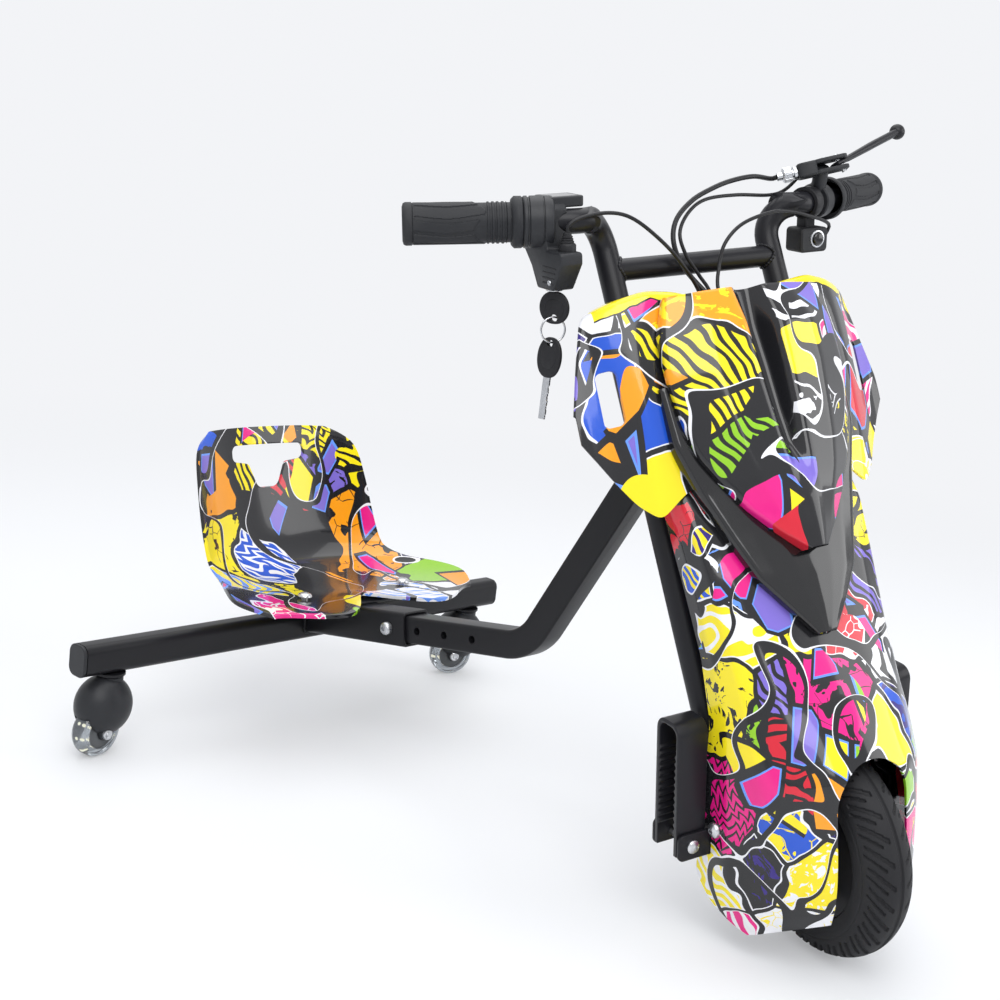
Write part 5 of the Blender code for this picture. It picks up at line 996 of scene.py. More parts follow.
leverBody = (np.array([-0.2778, 0.1250, 0.6560]), np.array([-0.2577, 0.1680, 0.6660]))
lever = {"middle": (-0.2690, 0.2120, 0.6770), "end": (-0.2835, 0.2510, 0.6880), "thick": 0.0046, "inset": 0.0070,
         "width": 0.0180, "height": 0.0140, "adjuster": 0.0190, "lean": (-0.45, -0.33, 0.80), "clamp": -0.0170,
         "clampRadius": 0.0165, "ball": 0.0075}
controllerTop, cableWay = 0.548, 0.602
brakeArm = (0.034, 0.152)
runs = {
    "brake": [(-0.2800, 0.0760, 0.6550), (-0.2770, 0.0500, 0.6530), (-0.2730, 0.0260, 0.6480),
              (-0.2690, 0.0000, 0.6386), (-0.2620, -0.0220, 0.6230), (-0.2530, -0.0300, 0.6035),
              (-0.2460, -0.0220, 0.5812)],
    "throttle": [(-0.2485, -0.1320, 0.6330), (-0.2430, -0.1080, 0.6370), (-0.2362, -0.0880, 0.6328),
                 (-0.2299, -0.0660, 0.6166), (-0.2270, -0.0420, 0.5931)],
    "brakeSwitch": [(-0.2870, 0.1200, 0.6400), (-0.2860, 0.1000, 0.6360), (-0.2810, 0.0580, 0.6390),
                    (-0.2750, 0.0190, 0.6378), (-0.2680, -0.0046, 0.6281), (-0.2575, -0.0207, 0.6120),
                    (-0.2500, -0.0185, 0.5930), (-0.2440, -0.0080, 0.5750)],
    "switch": [(-0.2640, 0.1560, 0.6060), (-0.2580, 0.1420, 0.6130), (-0.2510, 0.1230, 0.6180),
               (-0.2490, 0.1000, 0.6240), (-0.2460, 0.0740, 0.6260), (-0.2450, 0.0400, 0.6180),
               (-0.2430, 0.0190, 0.6020), (-0.2390, 0.0100, 0.5812)],
    "inner": [(0.0475, -0.0040, 0.588), (0.0500, 0.0100, 0.574), (0.0470, 0.0340, 0.562), (0.0400, 0.0480, 0.540),
              (0.0380, 0.0500, 0.480), (0.0380, 0.0510, 0.400), (0.0400, 0.0520, 0.300), (0.0400, 0.0500, 0.220),
              (0.0370, 0.0465, 0.180)],
}


def frameAt(ahead, over):
    # a turn whose columns are a direction, the one across it and the one nearest to over
    ahead = ahead / np.linalg.norm(ahead)
    over = over - ahead * (over @ ahead)
    over = over / np.linalg.norm(over)
    return np.stack([ahead, np.cross(over, ahead), over], axis=1)


def leverFrames():
    inner, outer = leverBody
    pivot = outer - (outer - inner) / np.linalg.norm(outer - inner) * lever["inset"]
    reach = np.array(lever["end"]) - pivot
    reach /= np.linalg.norm(reach)
    lean = np.array(lever["lean"])
    pin = lean - reach * (lean @ reach)
    pin /= np.linalg.norm(pin)
    return pivot, frameAt(reach, pin), frameAt(outer - inner, pin)


pivot, bladeTurn, bodyTurn = leverFrames()


def inBlade(points):
    return fromLevel(np.asarray(points, float) @ bladeTurn.T + pivot)


def inBody(points):
    return fromLevel(np.asarray(points, float) @ bodyTurn.T + pivot)


def bodyFrame(at):
    # a plate's frame in the lever body
    return levelTurn @ bodyTurn, inBody(at)


def makeLever():
    length = float(np.linalg.norm(leverBody[1] - leverBody[0]))
    bend = (np.array(lever["middle"]) - pivot) @ bladeTurn
    tip = (np.array(lever["end"]) - pivot) @ bladeTurn
    line = rounded([(-0.0085, 0, 0), (0.010, bend[1] * 0.3, 0), (bend[0], bend[1], 0), (tip[0], tip[1], 0)],
                   (0.020, 0.030), 12)
    line = evenly(line, 0.002)
    share = np.linspace(0, 1, len(line))
    ahead, _, _ = framesAlong(line)
    across = np.cross((0, 0, 1.0), ahead)
    wide = 0.0062 - 0.0012 * share
    thick = lever["thick"] / 2 + np.where(line[:, 0] < 0.012, 0.0, 0.0012 * np.minimum(1.0, share * 2))
    angles = np.linspace(0, math.tau, 32, endpoint=False)
    # the section is a flattened oval with nearly flat sides
    oval = np.stack([np.cos(angles), np.sin(angles)])
    oval = np.sign(oval) * np.abs(oval) ** 0.75
    grid = (line[:, None] + wide[:, None, None] * oval[0][None, :, None] * across[:, None]
            + thick[:, None, None] * oval[1][None, :, None] * np.array([0, 0, 1.0]))
    blade = tidy(pieceOf("leverBlade", inBlade(grid.reshape(-1, 3)), cappedFaces(len(line), 32), "bar", "brake_lever"))
    mount(blade, "brake_lever", "brake_lever")
    ballRows = np.radians(np.linspace(-90, 90, 21))
    mount(lathe("leverBall", np.stack([lever["ball"] * np.cos(ballRows), lever["ball"] * np.sin(ballRows)], axis=-1),
                inBlade([tip])[0], levelAxis(bladeTurn @ np.array([1.0, 0, 0])), "bar", "brake_lever", 32))
    half = lever["height"] / 2 + 0.0022
    mount(lathe("leverPin", [(0, half), (0.0018, half), (0.0025, half - 0.0006), (0.0025, -half), (0, -half)],
                fromLevel(pivot), levelAxis(bladeTurn[:, 2]), "steel", "brake_lever", 24))
    # the casting: a clamp round the bar, a neck and a long body with a cheek each side of the blade
    axis = gripAxis(1)
    clamp = gripPoint(lever["clamp"], 1)
    profile = [(bars["radius"] + clampGap, -0.0075), (lever["clampRadius"] - 0.001, -0.0075),
               (lever["clampRadius"], -0.0062), (lever["clampRadius"], 0.0062), (lever["clampRadius"] - 0.001, 0.0075),
               (bars["radius"] + clampGap, 0.0075)]
    mount(lathe("leverClamp", profile, fromLevel(clamp), levelAxis(axis), "plastic", "steering", 64, closed=True),
          "steering", "brake_bracket")
    gap = lever["thick"] / 2 + 0.0007
    cheek = lever["height"] / 2 - gap
    outline = [(lever["inset"], 0.0060), (lever["inset"] - 0.003, 0.0090), (-0.020, 0.0090), (-0.0250, 0.0070),
               (-0.0250, -0.0070), (-0.020, -0.0090), (lever["inset"] - 0.003, -0.0090), (lever["inset"], -0.0060)]
    for name, sign in (("cheekUpper", 1), ("cheekLower", -1)):
        mount(plate(name, outline, cheek, bodyFrame((0, 0, sign * (gap + cheek / 2))), "plastic", "steering", 0.0012),
              "steering", "brake_bracket")
    back = -(length - lever["inset"])
    heel = [(-0.0230, 0.0090), (back + 0.004, 0.0086), (back, 0.0062), (back, -0.0062), (back + 0.004, -0.0086),
            (-0.0230, -0.0090)]
    mount(plate("leverHeel", heel, lever["height"], bodyFrame((0, 0, 0)), "plastic", "steering", 0.0022, 4))
    neckEnd = (leverBody[0] + leverBody[1]) / 2
    mount(tube("leverNeck", fromLevel([clamp * 0.72 + neckEnd * 0.28, neckEnd]), 0.0070, "plastic", "steering", 32))
    for at in ((-0.0140, 0.0), (-0.0300, 0.0035)):
        mount(lathe("leverScrew", [(0, 0.0016), (0.0024, 0.0013), (0.0030, 0.0), (0.0030, -0.001)],
                    inBody([(at[0], at[1], lever["height"] / 2)])[0], levelAxis(bodyTurn[:, 2]), "alloy", "steering",
                    24))
    # the adjuster: a knurled silver barrel and its lock ring on a thread
    out = -levelAxis(bodyTurn[:, 0])
    start = inBody([(back, 0, 0)])[0]
    knurl = [(0.0, 0.0004), (0.0060, 0.0004), (0.0062, 0.0032), (0.0040, 0.0036), (0.0040, 0.0048), (0.0066, 0.0052),
             (0.0072, 0.0058), (0.0072, 0.0125), (0.0064, 0.0134), (0.0040, 0.0142), (0.0038, 0.0190), (0, 0.0190)]
    angles = np.linspace(0, math.tau, 96, endpoint=False)
    radius = np.array([p[0] for p in knurl])[:, None] * np.ones(96)
    radius = radius - 0.0006 * (np.array([p[0] for p in knurl]) > 0.0065)[:, None] * (np.cos(24 * angles) > 0.1)
    turn, at = axisFrame(start, out)
    grid = np.stack([radius * np.cos(angles), radius * np.sin(angles),
                     np.broadcast_to(np.array([p[1] for p in knurl])[:, None], radius.shape)], axis=-1) @ turn.T + at
    mount(tidy(pieceOf("adjusterBarrel", grid.reshape(-1, 3), gridFaces(len(knurl), 96, wrapAcross=True), "steel",
                       "steering"), 30), "steering", "barrel_adjuster")
    return start, out


def makeCables():
    anvil = levelPoint(brakeArm[0], wheel["hubHalf"] + 0.0145, brakeArm[1] + 0.0056)
    above = levelPoint(brakeArm[0], wheel["hubHalf"] + 0.0145, brakeArm[1] + 0.013)
    inner, outer = leverBody
    outward = (outer - inner) / np.linalg.norm(outer - inner)
    start = inner - outward * (lever["adjuster"] + clearance)
    inside = [levelPoint(*point) for point in [(0.0400, -0.0080, cableWay)] + runs["inner"]]
    makeCable("brakeCable", [start, start - outward * 0.006] + runs["brake"] + inside + [above, anvil], 0.0023,
              "brake_cable")
    boot = np.array([*housing["boot"], housing["shoulder"] + 0.0163])
    side = bodyTurn[:, 1]
    gland = inner + (outer - inner) * 0.14 + side * (lever["width"] / 2 + clearance)
    podEnd = podCentre() + (0, 0.0163, 0)
    for name, start, lead, run, entry, end, node in (
            ("throttleLead", boot, (0, 0, 0.004), "throttle", (0.0385, -0.0155), (0.0385, -0.0190), "throttle_lead"),
            ("brakeSwitchLead", gland, side * 0.004, "brakeSwitch", (0.0335, -0.0005), (0.0335, -0.0040),
             "brake_switch_lead"),
            ("switchLead", podEnd, (0, 0.004, 0), "switch", (0.0415, 0.0020), (0.0400, 0.0080), "switch_lead")):
        route = [start, start + np.array(lead)] + [np.array(point) for point in runs[run]]
        route += [levelPoint(*entry, cableWay), levelPoint(*end, controllerTop + 0.006),
                  levelPoint(*end, controllerTop + clearance)]
        makeCable(name, route, 0.0017, node)


pod = {"z": 0.5950, "at": -0.046, "size": (0.024, 0.032, 0.023)}


def podCentre():
    at = gripPoint(pod["at"], 1)
    return np.array([at[0], at[1] - 0.004 + 0.011, pod["z"]])


def makePod():
    centre = podCentre()
    width, length, height = pod["size"]
    turn = levelTurn @ facingAhead
    mount(plate("podCase", roundedBox((length, height), 0.004), width - 0.0012, (turn, fromLevel(centre)),
                "softPlastic", "steering", 0.0016, 4), "steering", "switch_pod")
    mount(plate("podLid", roundedBox((length - 0.004, height - 0.004), 0.003), 0.0012,
                (turn, fromLevel(centre + (width / 2 - 0.0008, 0, 0))), "plastic", "steering", 0.0005))
    profile = [(bars["radius"] + clampGap, -0.0066), (0.0146, -0.0066), (0.0150, -0.0060), (0.0150, 0.0060),
               (0.0146, 0.0066), (bars["radius"] + clampGap, 0.0066)]
    mount(lathe("podStrap", profile, fromLevel(gripPoint(-0.03725, 1)), levelAxis(gripAxis(1)), "softPlastic",
                "steering", 64, closed=True))
    post = gripPoint(-0.037, 1)
    mount(plate("podPost", roundedBox((0.014, 0.012), 0.002), 0.010,
                (levelTurn, fromLevel([post[0], post[1], pod["z"] + 0.0155])), "softPlastic", "steering", 0.0008))
    middle = np.array([gripPoint(pod["at"], 1)[0] + 0.012, podCentre()[1] + 0.003, pod["z"] + 0.001])
    button = [(0, 0.0035), (0.0030, 0.0034), (0.0048, 0.0030), (0.0058, 0.0020), (0.0060, 0.0010), (0.0060, -0.0050),
              (0, -0.0050)]
    mount(lathe("hornButton", button, fromLevel(middle), levelAxis((1, 0, 0)), "gloss", "horn_button", 48),
          "horn_button", "horn_button")
    mount(lathe("hornRing", [(0.0066, 0.0008), (0.0080, 0.0006), (0.0084, -0.0006), (0.0066, -0.0006)],
                fromLevel(middle), levelAxis((1, 0, 0)), "steel", "steering", 48, closed=True))


housing = {"ring": 0.0225, "lockX": -0.2665, "lockY": -0.1453, "lockRadius": 0.0080, "bottom": 0.5720,
           "thick": 0.0225, "shoulder": 0.6060, "boot": (-0.2505, -0.1420)}


def smoothOutline(corners, radius, steps=6):
    flat = [(0.0, u, v) for u, v in corners]
    count = len(flat)
    radii = radius if hasattr(radius, "__len__") else [radius] * count
    path = [rounded([flat[i - 1], flat[i], flat[(i + 1) % count]], [radii[i]], steps)[1:-1] for i in range(count)]
    return np.concatenate(path)[:, 1:]


def makeHousing():
    axis = gripAxis(-1)
    low, high, bore = -0.0275, -0.0006, bars["radius"] + clampGap
    middle, half = (low + high) / 2, (high - low) / 2
    r = housing["ring"]
    profile = [(bore, -half), (r - 0.0030, -half), (r - 0.0008, -half + 0.0012), (r, -half + 0.0030),
               (r, -0.0050), (r - 0.0010, -0.0046), (r - 0.0010, -0.0038), (r, -0.0034),
               (r, half - 0.0060), (r - 0.0012, half - 0.0052), (r - 0.0012, half - 0.0042), (r, half - 0.0036),
               (r, half - 0.0012), (r - 0.0010, half), (bore, half)]
    mount(lathe("throttleRing", profile, fromLevel(gripPoint(middle, -1)), levelAxis(axis), "plastic", "steering", 96,
                closed=True), "steering", "throttle_housing")
    z = bars["z"]
    bottom, shoulder = housing["bottom"], housing["shoulder"]
    outline = [(-0.2920, z + 0.0165), (-0.2740, z + 0.0215), (-0.2635, z + 0.0115), (-0.2620, shoulder),
               (-0.2375, shoulder), (-0.2370, 0.5960), (-0.2525, bottom), (-0.2775, bottom), (-0.2880, 0.5900),
               (-0.3010, 0.6040)]
    # x of the plate is ahead, y is up, and its depth runs across
    facing = levelTurn @ facingSide
    at = fromLevel([0, housing["lockY"], 0])
    body = plate("throttleBody", smoothOutline(outline, 0.0035), housing["thick"], (facing, at), "plastic", "steering",
                 0.0020, 4)
    settle(body)
    bore = tube("bodyBore", fromLevel([gripPoint(-0.06, -1), gripPoint(0.03, -1)]), bars["radius"] + 0.0008,
                "plastic", "steering", 48)
    cutBy(body, bore)
    seatHole = tube("lockSeat", fromLevel([(housing["lockX"], housing["lockY"], bottom + v) for v in (-0.02, 0.012)]),
                    housing["lockRadius"] + 0.0004, "plastic", "steering", 48)
    cutBy(body, seatHole)
    mount(smoothed(body, 32), "steering", "throttle_housing")
    # ribs over the lower block, screws, the gauge and the boot over the lead
    for step in range(4):
        height = bottom + 0.0062 + 0.0046 * step
        reach = 0.0018 * step
        rib = plate("housingRib", roundedBox((0.0180 + reach, 0.0014), 0.0006), housing["thick"] + 0.0009,
                    (facing, fromLevel([-0.2590 + reach / 2, housing["lockY"], height])), "softPlastic", "steering",
                    0.0004, 2)
        mount(rib)
    for at in ((-0.2700, 0.6235), (-0.2560, 0.5790)):
        for side in (-1, 1):
            mount(lathe("housingScrew", [(0, 0.0008), (0.0008, 0.0008), (0.0010, 0.0014), (0.0022, 0.0014),
                                         (0.0026, 0.0006), (0.0026, -0.001)],
                        fromLevel([at[0], housing["lockY"] + side * (housing["thick"] / 2 - 0.0006), at[1]]),
                        levelAxis((0, side, 0)), "alloy", "steering", 24))
    gaugeAt = np.array([-0.2825, -0.1320, z + 0.0168])
    mount(plate("gaugeCase", roundedBox((0.029, 0.036), 0.004), 0.0095, (levelTurn, fromLevel(gaugeAt)), "plastic",
                "steering", 0.0016, 4), "steering", "throttle_housing")
    mount(plate("gaugeGlass", roundedBox((0.021, 0.027), 0.002), 0.0006,
                (levelTurn, fromLevel(gaugeAt + (0, 0, 0.0046))), "gloss", "steering", 0.0002))
    boot = [(0, 0.0158), (0.0026, 0.0160), (0.0034, 0.0154), (0.0037, 0.0132)]
    for ring in range(3):
        base = 0.0128 - 0.0022 * ring
        boot += [(0.0046 + 0.0006 * ring, base), (0.0046 + 0.0006 * ring, base - 0.0010),
                 (0.0040 + 0.0008 * ring, base - 0.0014)]
    boot += [(0.0070, 0.0062), (0.0076, 0.0050), (0.0076, -0.0010), (0, -0.0010)]
    mount(lathe("throttleBoot", boot, fromLevel([*housing["boot"], shoulder]), levelAxis((0, 0, 1)), "softPlastic",
                "steering", 48))


keys = {"turn": 37.0, "ringTurn": -29.0, "head": (0.0280, 0.0290), "spare": (0.0270, 0.0360), "thick": 0.0036,
        "eye": 0.0033, "rim": 0.0022, "ring": 0.0112, "rise": 0.0006, "sag": 0.0008, "wire": 0.0009}


def keyHead(name, size, middle, turn, body, node, eyeAt, bladeTop, bladeEnd):
    # an oval plate with a pressed panel each side, an eye, and a blade cut with notches
    angles = np.linspace(0, math.tau, 72, endpoint=False)
    oval = np.stack([size[0] / 2 * np.sign(np.cos(angles)) * np.abs(np.cos(angles)) ** 0.86,
                     size[1] / 2 * np.sin(angles)], axis=-1)
    rotation, base = turn
    facing = rotation @ facingSide
    head = plate(name, oval, keys["thick"], (facing, base + rotation @ np.array([0, 0, middle])), "softPlastic", body,
                 0.0013, 4)
    settle(head)
    pad = plate(name + "Pad", oval * 0.66, keys["thick"] + 0.0006,
                (facing, base + rotation @ np.array([0, 0, middle + (0.0018 if bladeTop < middle else -0.0018)])),
                "softPlastic", body, 0.0005, 2)
    settle(pad)
    for piece in (head, pad):
        across = rotation @ np.array([0, 0.01, 0])
        spot = base + rotation @ np.array([0, 0, eyeAt])
        cutBy(piece, tube("keyEye", [spot - across, spot + across], keys["eye"], "softPlastic", body, 32))
        smoothed(piece, 35)
    mount(head, body, node)
    mount(pad, body)
    low, high = min(bladeTop, bladeEnd), max(bladeTop, bladeEnd)
    heights = np.linspace(high, low, 36)
    notch = 0.0012 * (0.5 + 0.5 * np.sin(np.arange(len(heights)) * 1.7) * np.cos(np.arange(len(heights)) * 0.9))
    notch[: len(heights) // 4] = 0
    left = [(-0.0038, h) for h in heights[::-1]]
    right = [(0.0038 - n, h) for h, n in zip(heights, notch)]
    mount(plate(name + "Blade", left + right, 0.0020, (facing, base), "steel", body, 0.0002, 1), body)


def makeLock():
    bottom = housing["bottom"]
    rotation = levelTurn @ np.array(Matrix.Rotation(math.radians(keys["turn"]), 3, "Z"))
    base = fromLevel([housing["lockX"], housing["lockY"], bottom])
    barrel = [(0, 0.0114), (0.0080, 0.0114), (0.0080, -0.0006), (0.0074, -0.0018), (0.0058, -0.0020),
              (0.0052, -0.0012), (0, -0.0012)]
    mount(lathe("lockBarrel", barrel, base, rotation[:, 2], "steel", "lock", 64), "lock", "lock_barrel")
    top = -0.0026
    middle = top - keys["head"][1] / 2
    eyeAt = middle - keys["head"][1] / 2 + keys["eye"] + keys["rim"]
    keyHead("ignitionKey", keys["head"], middle, (rotation, base), "lock", "ignition_key", eyeAt, 0.0070, -0.0040)
    hang = base + rotation @ np.array([0, 0, eyeAt])
    drop = keys["ring"] - keys["rise"]
    face = math.radians(keys["ringTurn"])
    facing = np.array([math.cos(face), math.sin(face), 0.0])
    side = np.cross((0, 0, 1.0), facing)
    angle = np.linspace(0, math.tau, 97)[:-1]
    ring = hang - (0, 0, drop) + keys["ring"] * (np.cos(angle)[:, None] * side + np.sin(angle)[:, None] * np.array(
        [0, 0, 1.0]))
    mount(ringTube("keyRing", ring, keys["wire"], "steel", "keys", 12), "keys", "key_ring")
    spareEye = -drop - keys["ring"] - keys["sag"]
    spareMiddle = spareEye + keys["eye"] + keys["rim"] - keys["spare"][1] / 2
    keyHead("spareKey", keys["spare"], spareMiddle, (np.eye(3), hang), "keys", "spare_key", spareEye,
            spareMiddle - keys["spare"][1] / 2 + 0.0030, spareMiddle - keys["spare"][1] / 2 - 0.0370)


makeBars()
makeGrip("throttleGrip", -1, grips["rightRadius"], "throttle_grip", "throttle_grip")
makeGrip("gripLeft", 1, grips["leftRadius"], "steering", "grip_left")
makeLever()
makeHousing()
makePod()
makeCables()
makeLock()
print("bars and controls made")


# Fork and wheel, in the raked frame

fork = {"radius": 0.0125, "y": 0.076, "ahead": -0.015, "bottom": 0.128, "plate": 0.006, "axleHeight": 0.107857,
        "axle": 0.006, "top": 0.5874}


def rakedAxis(direction):
    return rakedTurn @ np.asarray(direction, float)


axle = fromRaked([wheel["ahead"], 0, fork["axleHeight"]])
across = rakedAxis((0, 1, 0))


def makeFork():
    facing = rakedTurn @ facingSide
    ahead, height, bottom = wheel["ahead"], fork["axleHeight"], fork["bottom"]
    for name, side in (("right", -1), ("left", 1)):
        y = side * fork["y"]
        legPath = evenly([(fork["ahead"], y, bottom), (fork["ahead"], y, fork["top"])], 0.02)
        leg = tube("forkLeg_" + name, fromRaked(legPath), fork["radius"], "bar", "steering", 48)
        mount(leg, "steering", "fork_leg_" + name)
        lug = smoothOutline([(fork["ahead"] - 0.011, bottom + 0.045), (fork["ahead"] - 0.011, height - 0.004),
                             (ahead - 0.004, height - 0.020), (ahead + 0.017, height - 0.012),
                             (ahead + 0.015, height + 0.020), (fork["ahead"] + 0.011, bottom + 0.045)], 0.008, 10)
        inner = fork["y"] - fork["radius"] - 0.004
        mount(plate("dropout_" + name, lug, fork["plate"], (facing, fromRaked([0, side * (inner + 0.003), 0])), "bar",
                    "steering", 0.0008), "steering", "fork_leg_" + name)
        # nut with six flats and a round chamfer, and a washer under it
        outer = inner + fork["plate"]
        hexagon = [(0.0104 * math.cos(a), 0.0104 * math.sin(a)) for a in np.linspace(0, math.tau, 7)[:-1]]
        mount(plate("axleNut_" + name, hexagon, 0.0077, (facing, fromRaked([ahead, side * (outer + 0.00415), height])),
                    "steel", "steering", 0.0008), "steering", "front_axle")
        mount(plate("axleWasher_" + name, [(0.0125 * math.cos(a), 0.0125 * math.sin(a)) for a in np.linspace(
            0, math.tau, 49)[:-1]], 0.0014, (facing, fromRaked([ahead, side * (outer + 0.0008), height])), "steel",
            "steering", 0.0003))
    reach = inner + fork["plate"] + 0.012
    mount(tube("axleRod", fromRaked([(ahead, -reach, height), (ahead, reach, height)]), fork["axle"], "steel",
               "steering", 32), "steering", "front_axle")


def makeTyre():
    # the section is a round crown on two beads; the tread cuts slanting grooves into its shoulders
    half, radius = wheel["width"] / 2, wheel["tyre"]
    section = radius - half
    tall = np.radians(np.linspace(117, -117, 91))
    around = np.linspace(0, math.tau, 721)[:-1]
    turns, side = np.meshgrid(around, tall, indexing="ij")
    lobes = 30
    sway = np.abs(np.degrees(side))
    phase = (turns * lobes / math.tau + sway / 52.0) % 1.0
    second = (turns * lobes / math.tau + sway / 52.0 + 0.5) % 1.0
    groove = ((phase < 0.20) & (sway > 14) & (sway < 66)) | ((second < 0.14) & (sway > 30) & (sway < 72))
    middle = np.abs(np.degrees(side)) < 3.2
    rings = (np.abs(sway - 84) < 1.3) | (np.abs(sway - 92) < 1.0)
    depth = 0.0016 * groove + 0.0014 * middle + 0.0005 * rings
    size = half - depth
    out = section + size * np.cos(side)
    aside = size * np.sin(side)
    bead = np.array([[0.0631, 0.019], [0.0631, -0.019]])
    out = np.concatenate([np.full((len(around), 1), bead[0, 0]), out, np.full((len(around), 1), bead[1, 0])], axis=1)
    aside = np.concatenate([np.full((len(around), 1), bead[0, 1]), aside, np.full((len(around), 1), bead[1, 1])],
                           axis=1)
    turn, start = axisFrame(axle, across)
    angle = around[:, None]
    grid = np.stack([out * np.cos(angle), out * np.sin(angle), aside], axis=-1) @ turn.T + start
    tyre = pieceOf("frontTyre", grid.reshape(-1, 3), gridFaces(*grid.shape[:2], wrapCount=True, wrapAcross=True),
                   "tyre", "front_wheel")
    mount(tidy(tyre, 40), "front_wheel", "front_tyre")
    hub = [(0.0064, 0.030), (0.020, 0.030), (0.022, 0.0292), (0.048, 0.0264), (0.050, 0.0254), (0.0565, 0.0225),
           (0.0605, 0.0212), (0.0625, 0.0205), (0.0625, -0.0205), (0.0605, -0.0212), (0.0565, -0.0225),
           (0.050, -0.0254), (0.048, -0.0264), (0.022, -0.0292), (0.020, -0.030), (0.0064, -0.030)]
    mount(lathe("hubMotor", hub, axle, across, "frame", "front_wheel", 96, closed=True), "front_wheel", "front_hub")
    for side in (-1, 1):
        for step in range(6):
            angle = math.tau * step / 6
            spot = axle + turn @ np.array([0.041 * math.cos(angle), 0.041 * math.sin(angle), side * 0.0268])
            mount(lathe("hubScrew", [(0, 0.0014), (0.0026, 0.0012), (0.0030, 0.0004), (0.0030, -0.001)], spot,
                        side * across, "steel", "front_wheel", 20))


makeFork()
makeTyre()
print("fork and wheel made")

# Footpegs, in the level frame


def makePeg(name, side):
    facing = levelTurn @ facingSide
    hinge = np.array([peg["x"], side * peg["y"], peg["z"]])
    width, length, bar = peg["width"], peg["length"], peg["bar"]
    outer = rounded([(-width / 2, 0, -0.009), (-width / 2, 0, length), (width / 2, 0, length),
                     (width / 2, 0, -0.009)], (0.0120, 0.0120), 10)[:, [0, 2]]
    hollow = width / 2 - bar
    # the inner edge carries a row of teeth
    inner = [(-hollow, -0.009)]
    rows = np.linspace(0.014, length - 0.030, 12)
    for height in rows:
        inner += [(-hollow, height - 0.0026), (-hollow + 0.0022, height), (-hollow, height + 0.0026)]
    inner += [tuple(p) for p in rounded([(-hollow, 0, length - 0.020), (-hollow, 0, length - bar),
                                         (hollow, 0, length - bar), (hollow, 0, length - 0.020)],
                                        (0.0080, 0.0080), 8)[:, [0, 2]]]
    for height in rows[::-1]:
        inner += [(hollow, height + 0.0026), (hollow - 0.0022, height), (hollow, height - 0.0026)]
    inner += [(hollow, -0.009)]
    line = [tuple(p) for p in outer] + inner[::-1]
    loop = plate("footpeg_" + name, line, peg["depth"], (facing, fromLevel(hinge)), "bar", "footpeg_" + name, 0.0009,
                 3)
    settle(loop)
    bore = tube("pegBore", fromLevel([hinge - (0.05, 0, 0), hinge + (0.05, 0, 0)]), peg["pin"] + clearance, "bar",
                "footpeg_" + name, 32)
    cutBy(loop, bore)
    mount(smoothed(loop, 35), "footpeg_" + name, "footpeg_" + name)
    # the bracket: a side plate bolted to the leg and two ears with the pin
    ear = width / 2 + peg["play"]
    wall = fork["y"] + fork["radius"] + clearance
    bolt = levelPoint(shells["pegBolt"][0], 0.0, shells["pegBolt"][1])
    low, high = peg["z"] - peg["earHeight"] / 2, peg["z"] + peg["earHeight"] / 2
    corners = [(peg["x"] - ear - peg["ear"], low), (peg["x"] + ear + peg["ear"], low),
               (bolt[0] + 0.014, bolt[2] - 0.012), (bolt[0] + 0.014, bolt[2] + 0.012),
               (bolt[0] - 0.010, bolt[2] + 0.014), (peg["x"] - ear - peg["ear"], high)]
    mount(plate("pegBracket_" + name, smoothOutline(corners, 0.006, 8), peg["bracket"],
                (facing, fromLevel([0, side * (wall + peg["bracket"] / 2), 0])), "bar", "steering", 0.0008),
          "steering", "footpeg_bracket_" + name)
    tip = peg["y"] + peg["depth"] / 2
    turn = levelTurn @ facingAhead
    for offset in (ear + peg["ear"] / 2, -ear - peg["ear"] / 2):
        mount(plate("pegEar_" + name, roundedBox((tip - wall - 0.001, peg["earHeight"]), 0.006, 8), peg["ear"],
                    (turn, fromLevel([peg["x"] + offset, side * (tip + wall + 0.001) / 2, peg["z"]])), "bar",
                    "steering", 0.0006))
    reach = ear + peg["ear"] + 0.003
    mount(tube("pegPin_" + name, fromLevel([hinge - (reach, 0, 0), hinge + (reach, 0, 0)]), peg["pin"], "steel",
               "steering", 24))
    head = [(0, 0.0042), (0.0020, 0.0041), (0.0048, 0.0032), (0.0062, 0.0016), (0.0062, 0.0), (0.0030, 0.0)]
    mount(lathe("pegPinHead_" + name, head, fromLevel(hinge + (ear + peg["ear"] - 0.0002, 0, 0)),
                levelAxis((1, 0, 0)), "steel", "steering", 40))
    coverSide = coverHalf + shells["coverWall"] / 2 + clearance
    dome = [(0, 0.0052), (0.0014, 0.0051), (0.0016, 0.0040), (0.0024, 0.0040), (0.0026, 0.0050), (0.0045, 0.0044),
            (0.0066, 0.0030), (0.0072, 0.0012), (0.0072, 0.0), (0.0030, 0.0), (0.0030, -0.028), (0, -0.028)]
    mount(lathe("pegBolt_" + name, dome, fromRaked([shells["pegBolt"][0], side * coverSide, shells["pegBolt"][1]]),
                side * across, "steel", "steering", 48), "steering", "footpeg_bolt_" + name)


for pegName, pegSide in (("right", -1), ("left", 1)):
    makePeg(pegName, pegSide)
print("footpegs made")

# Rear frame

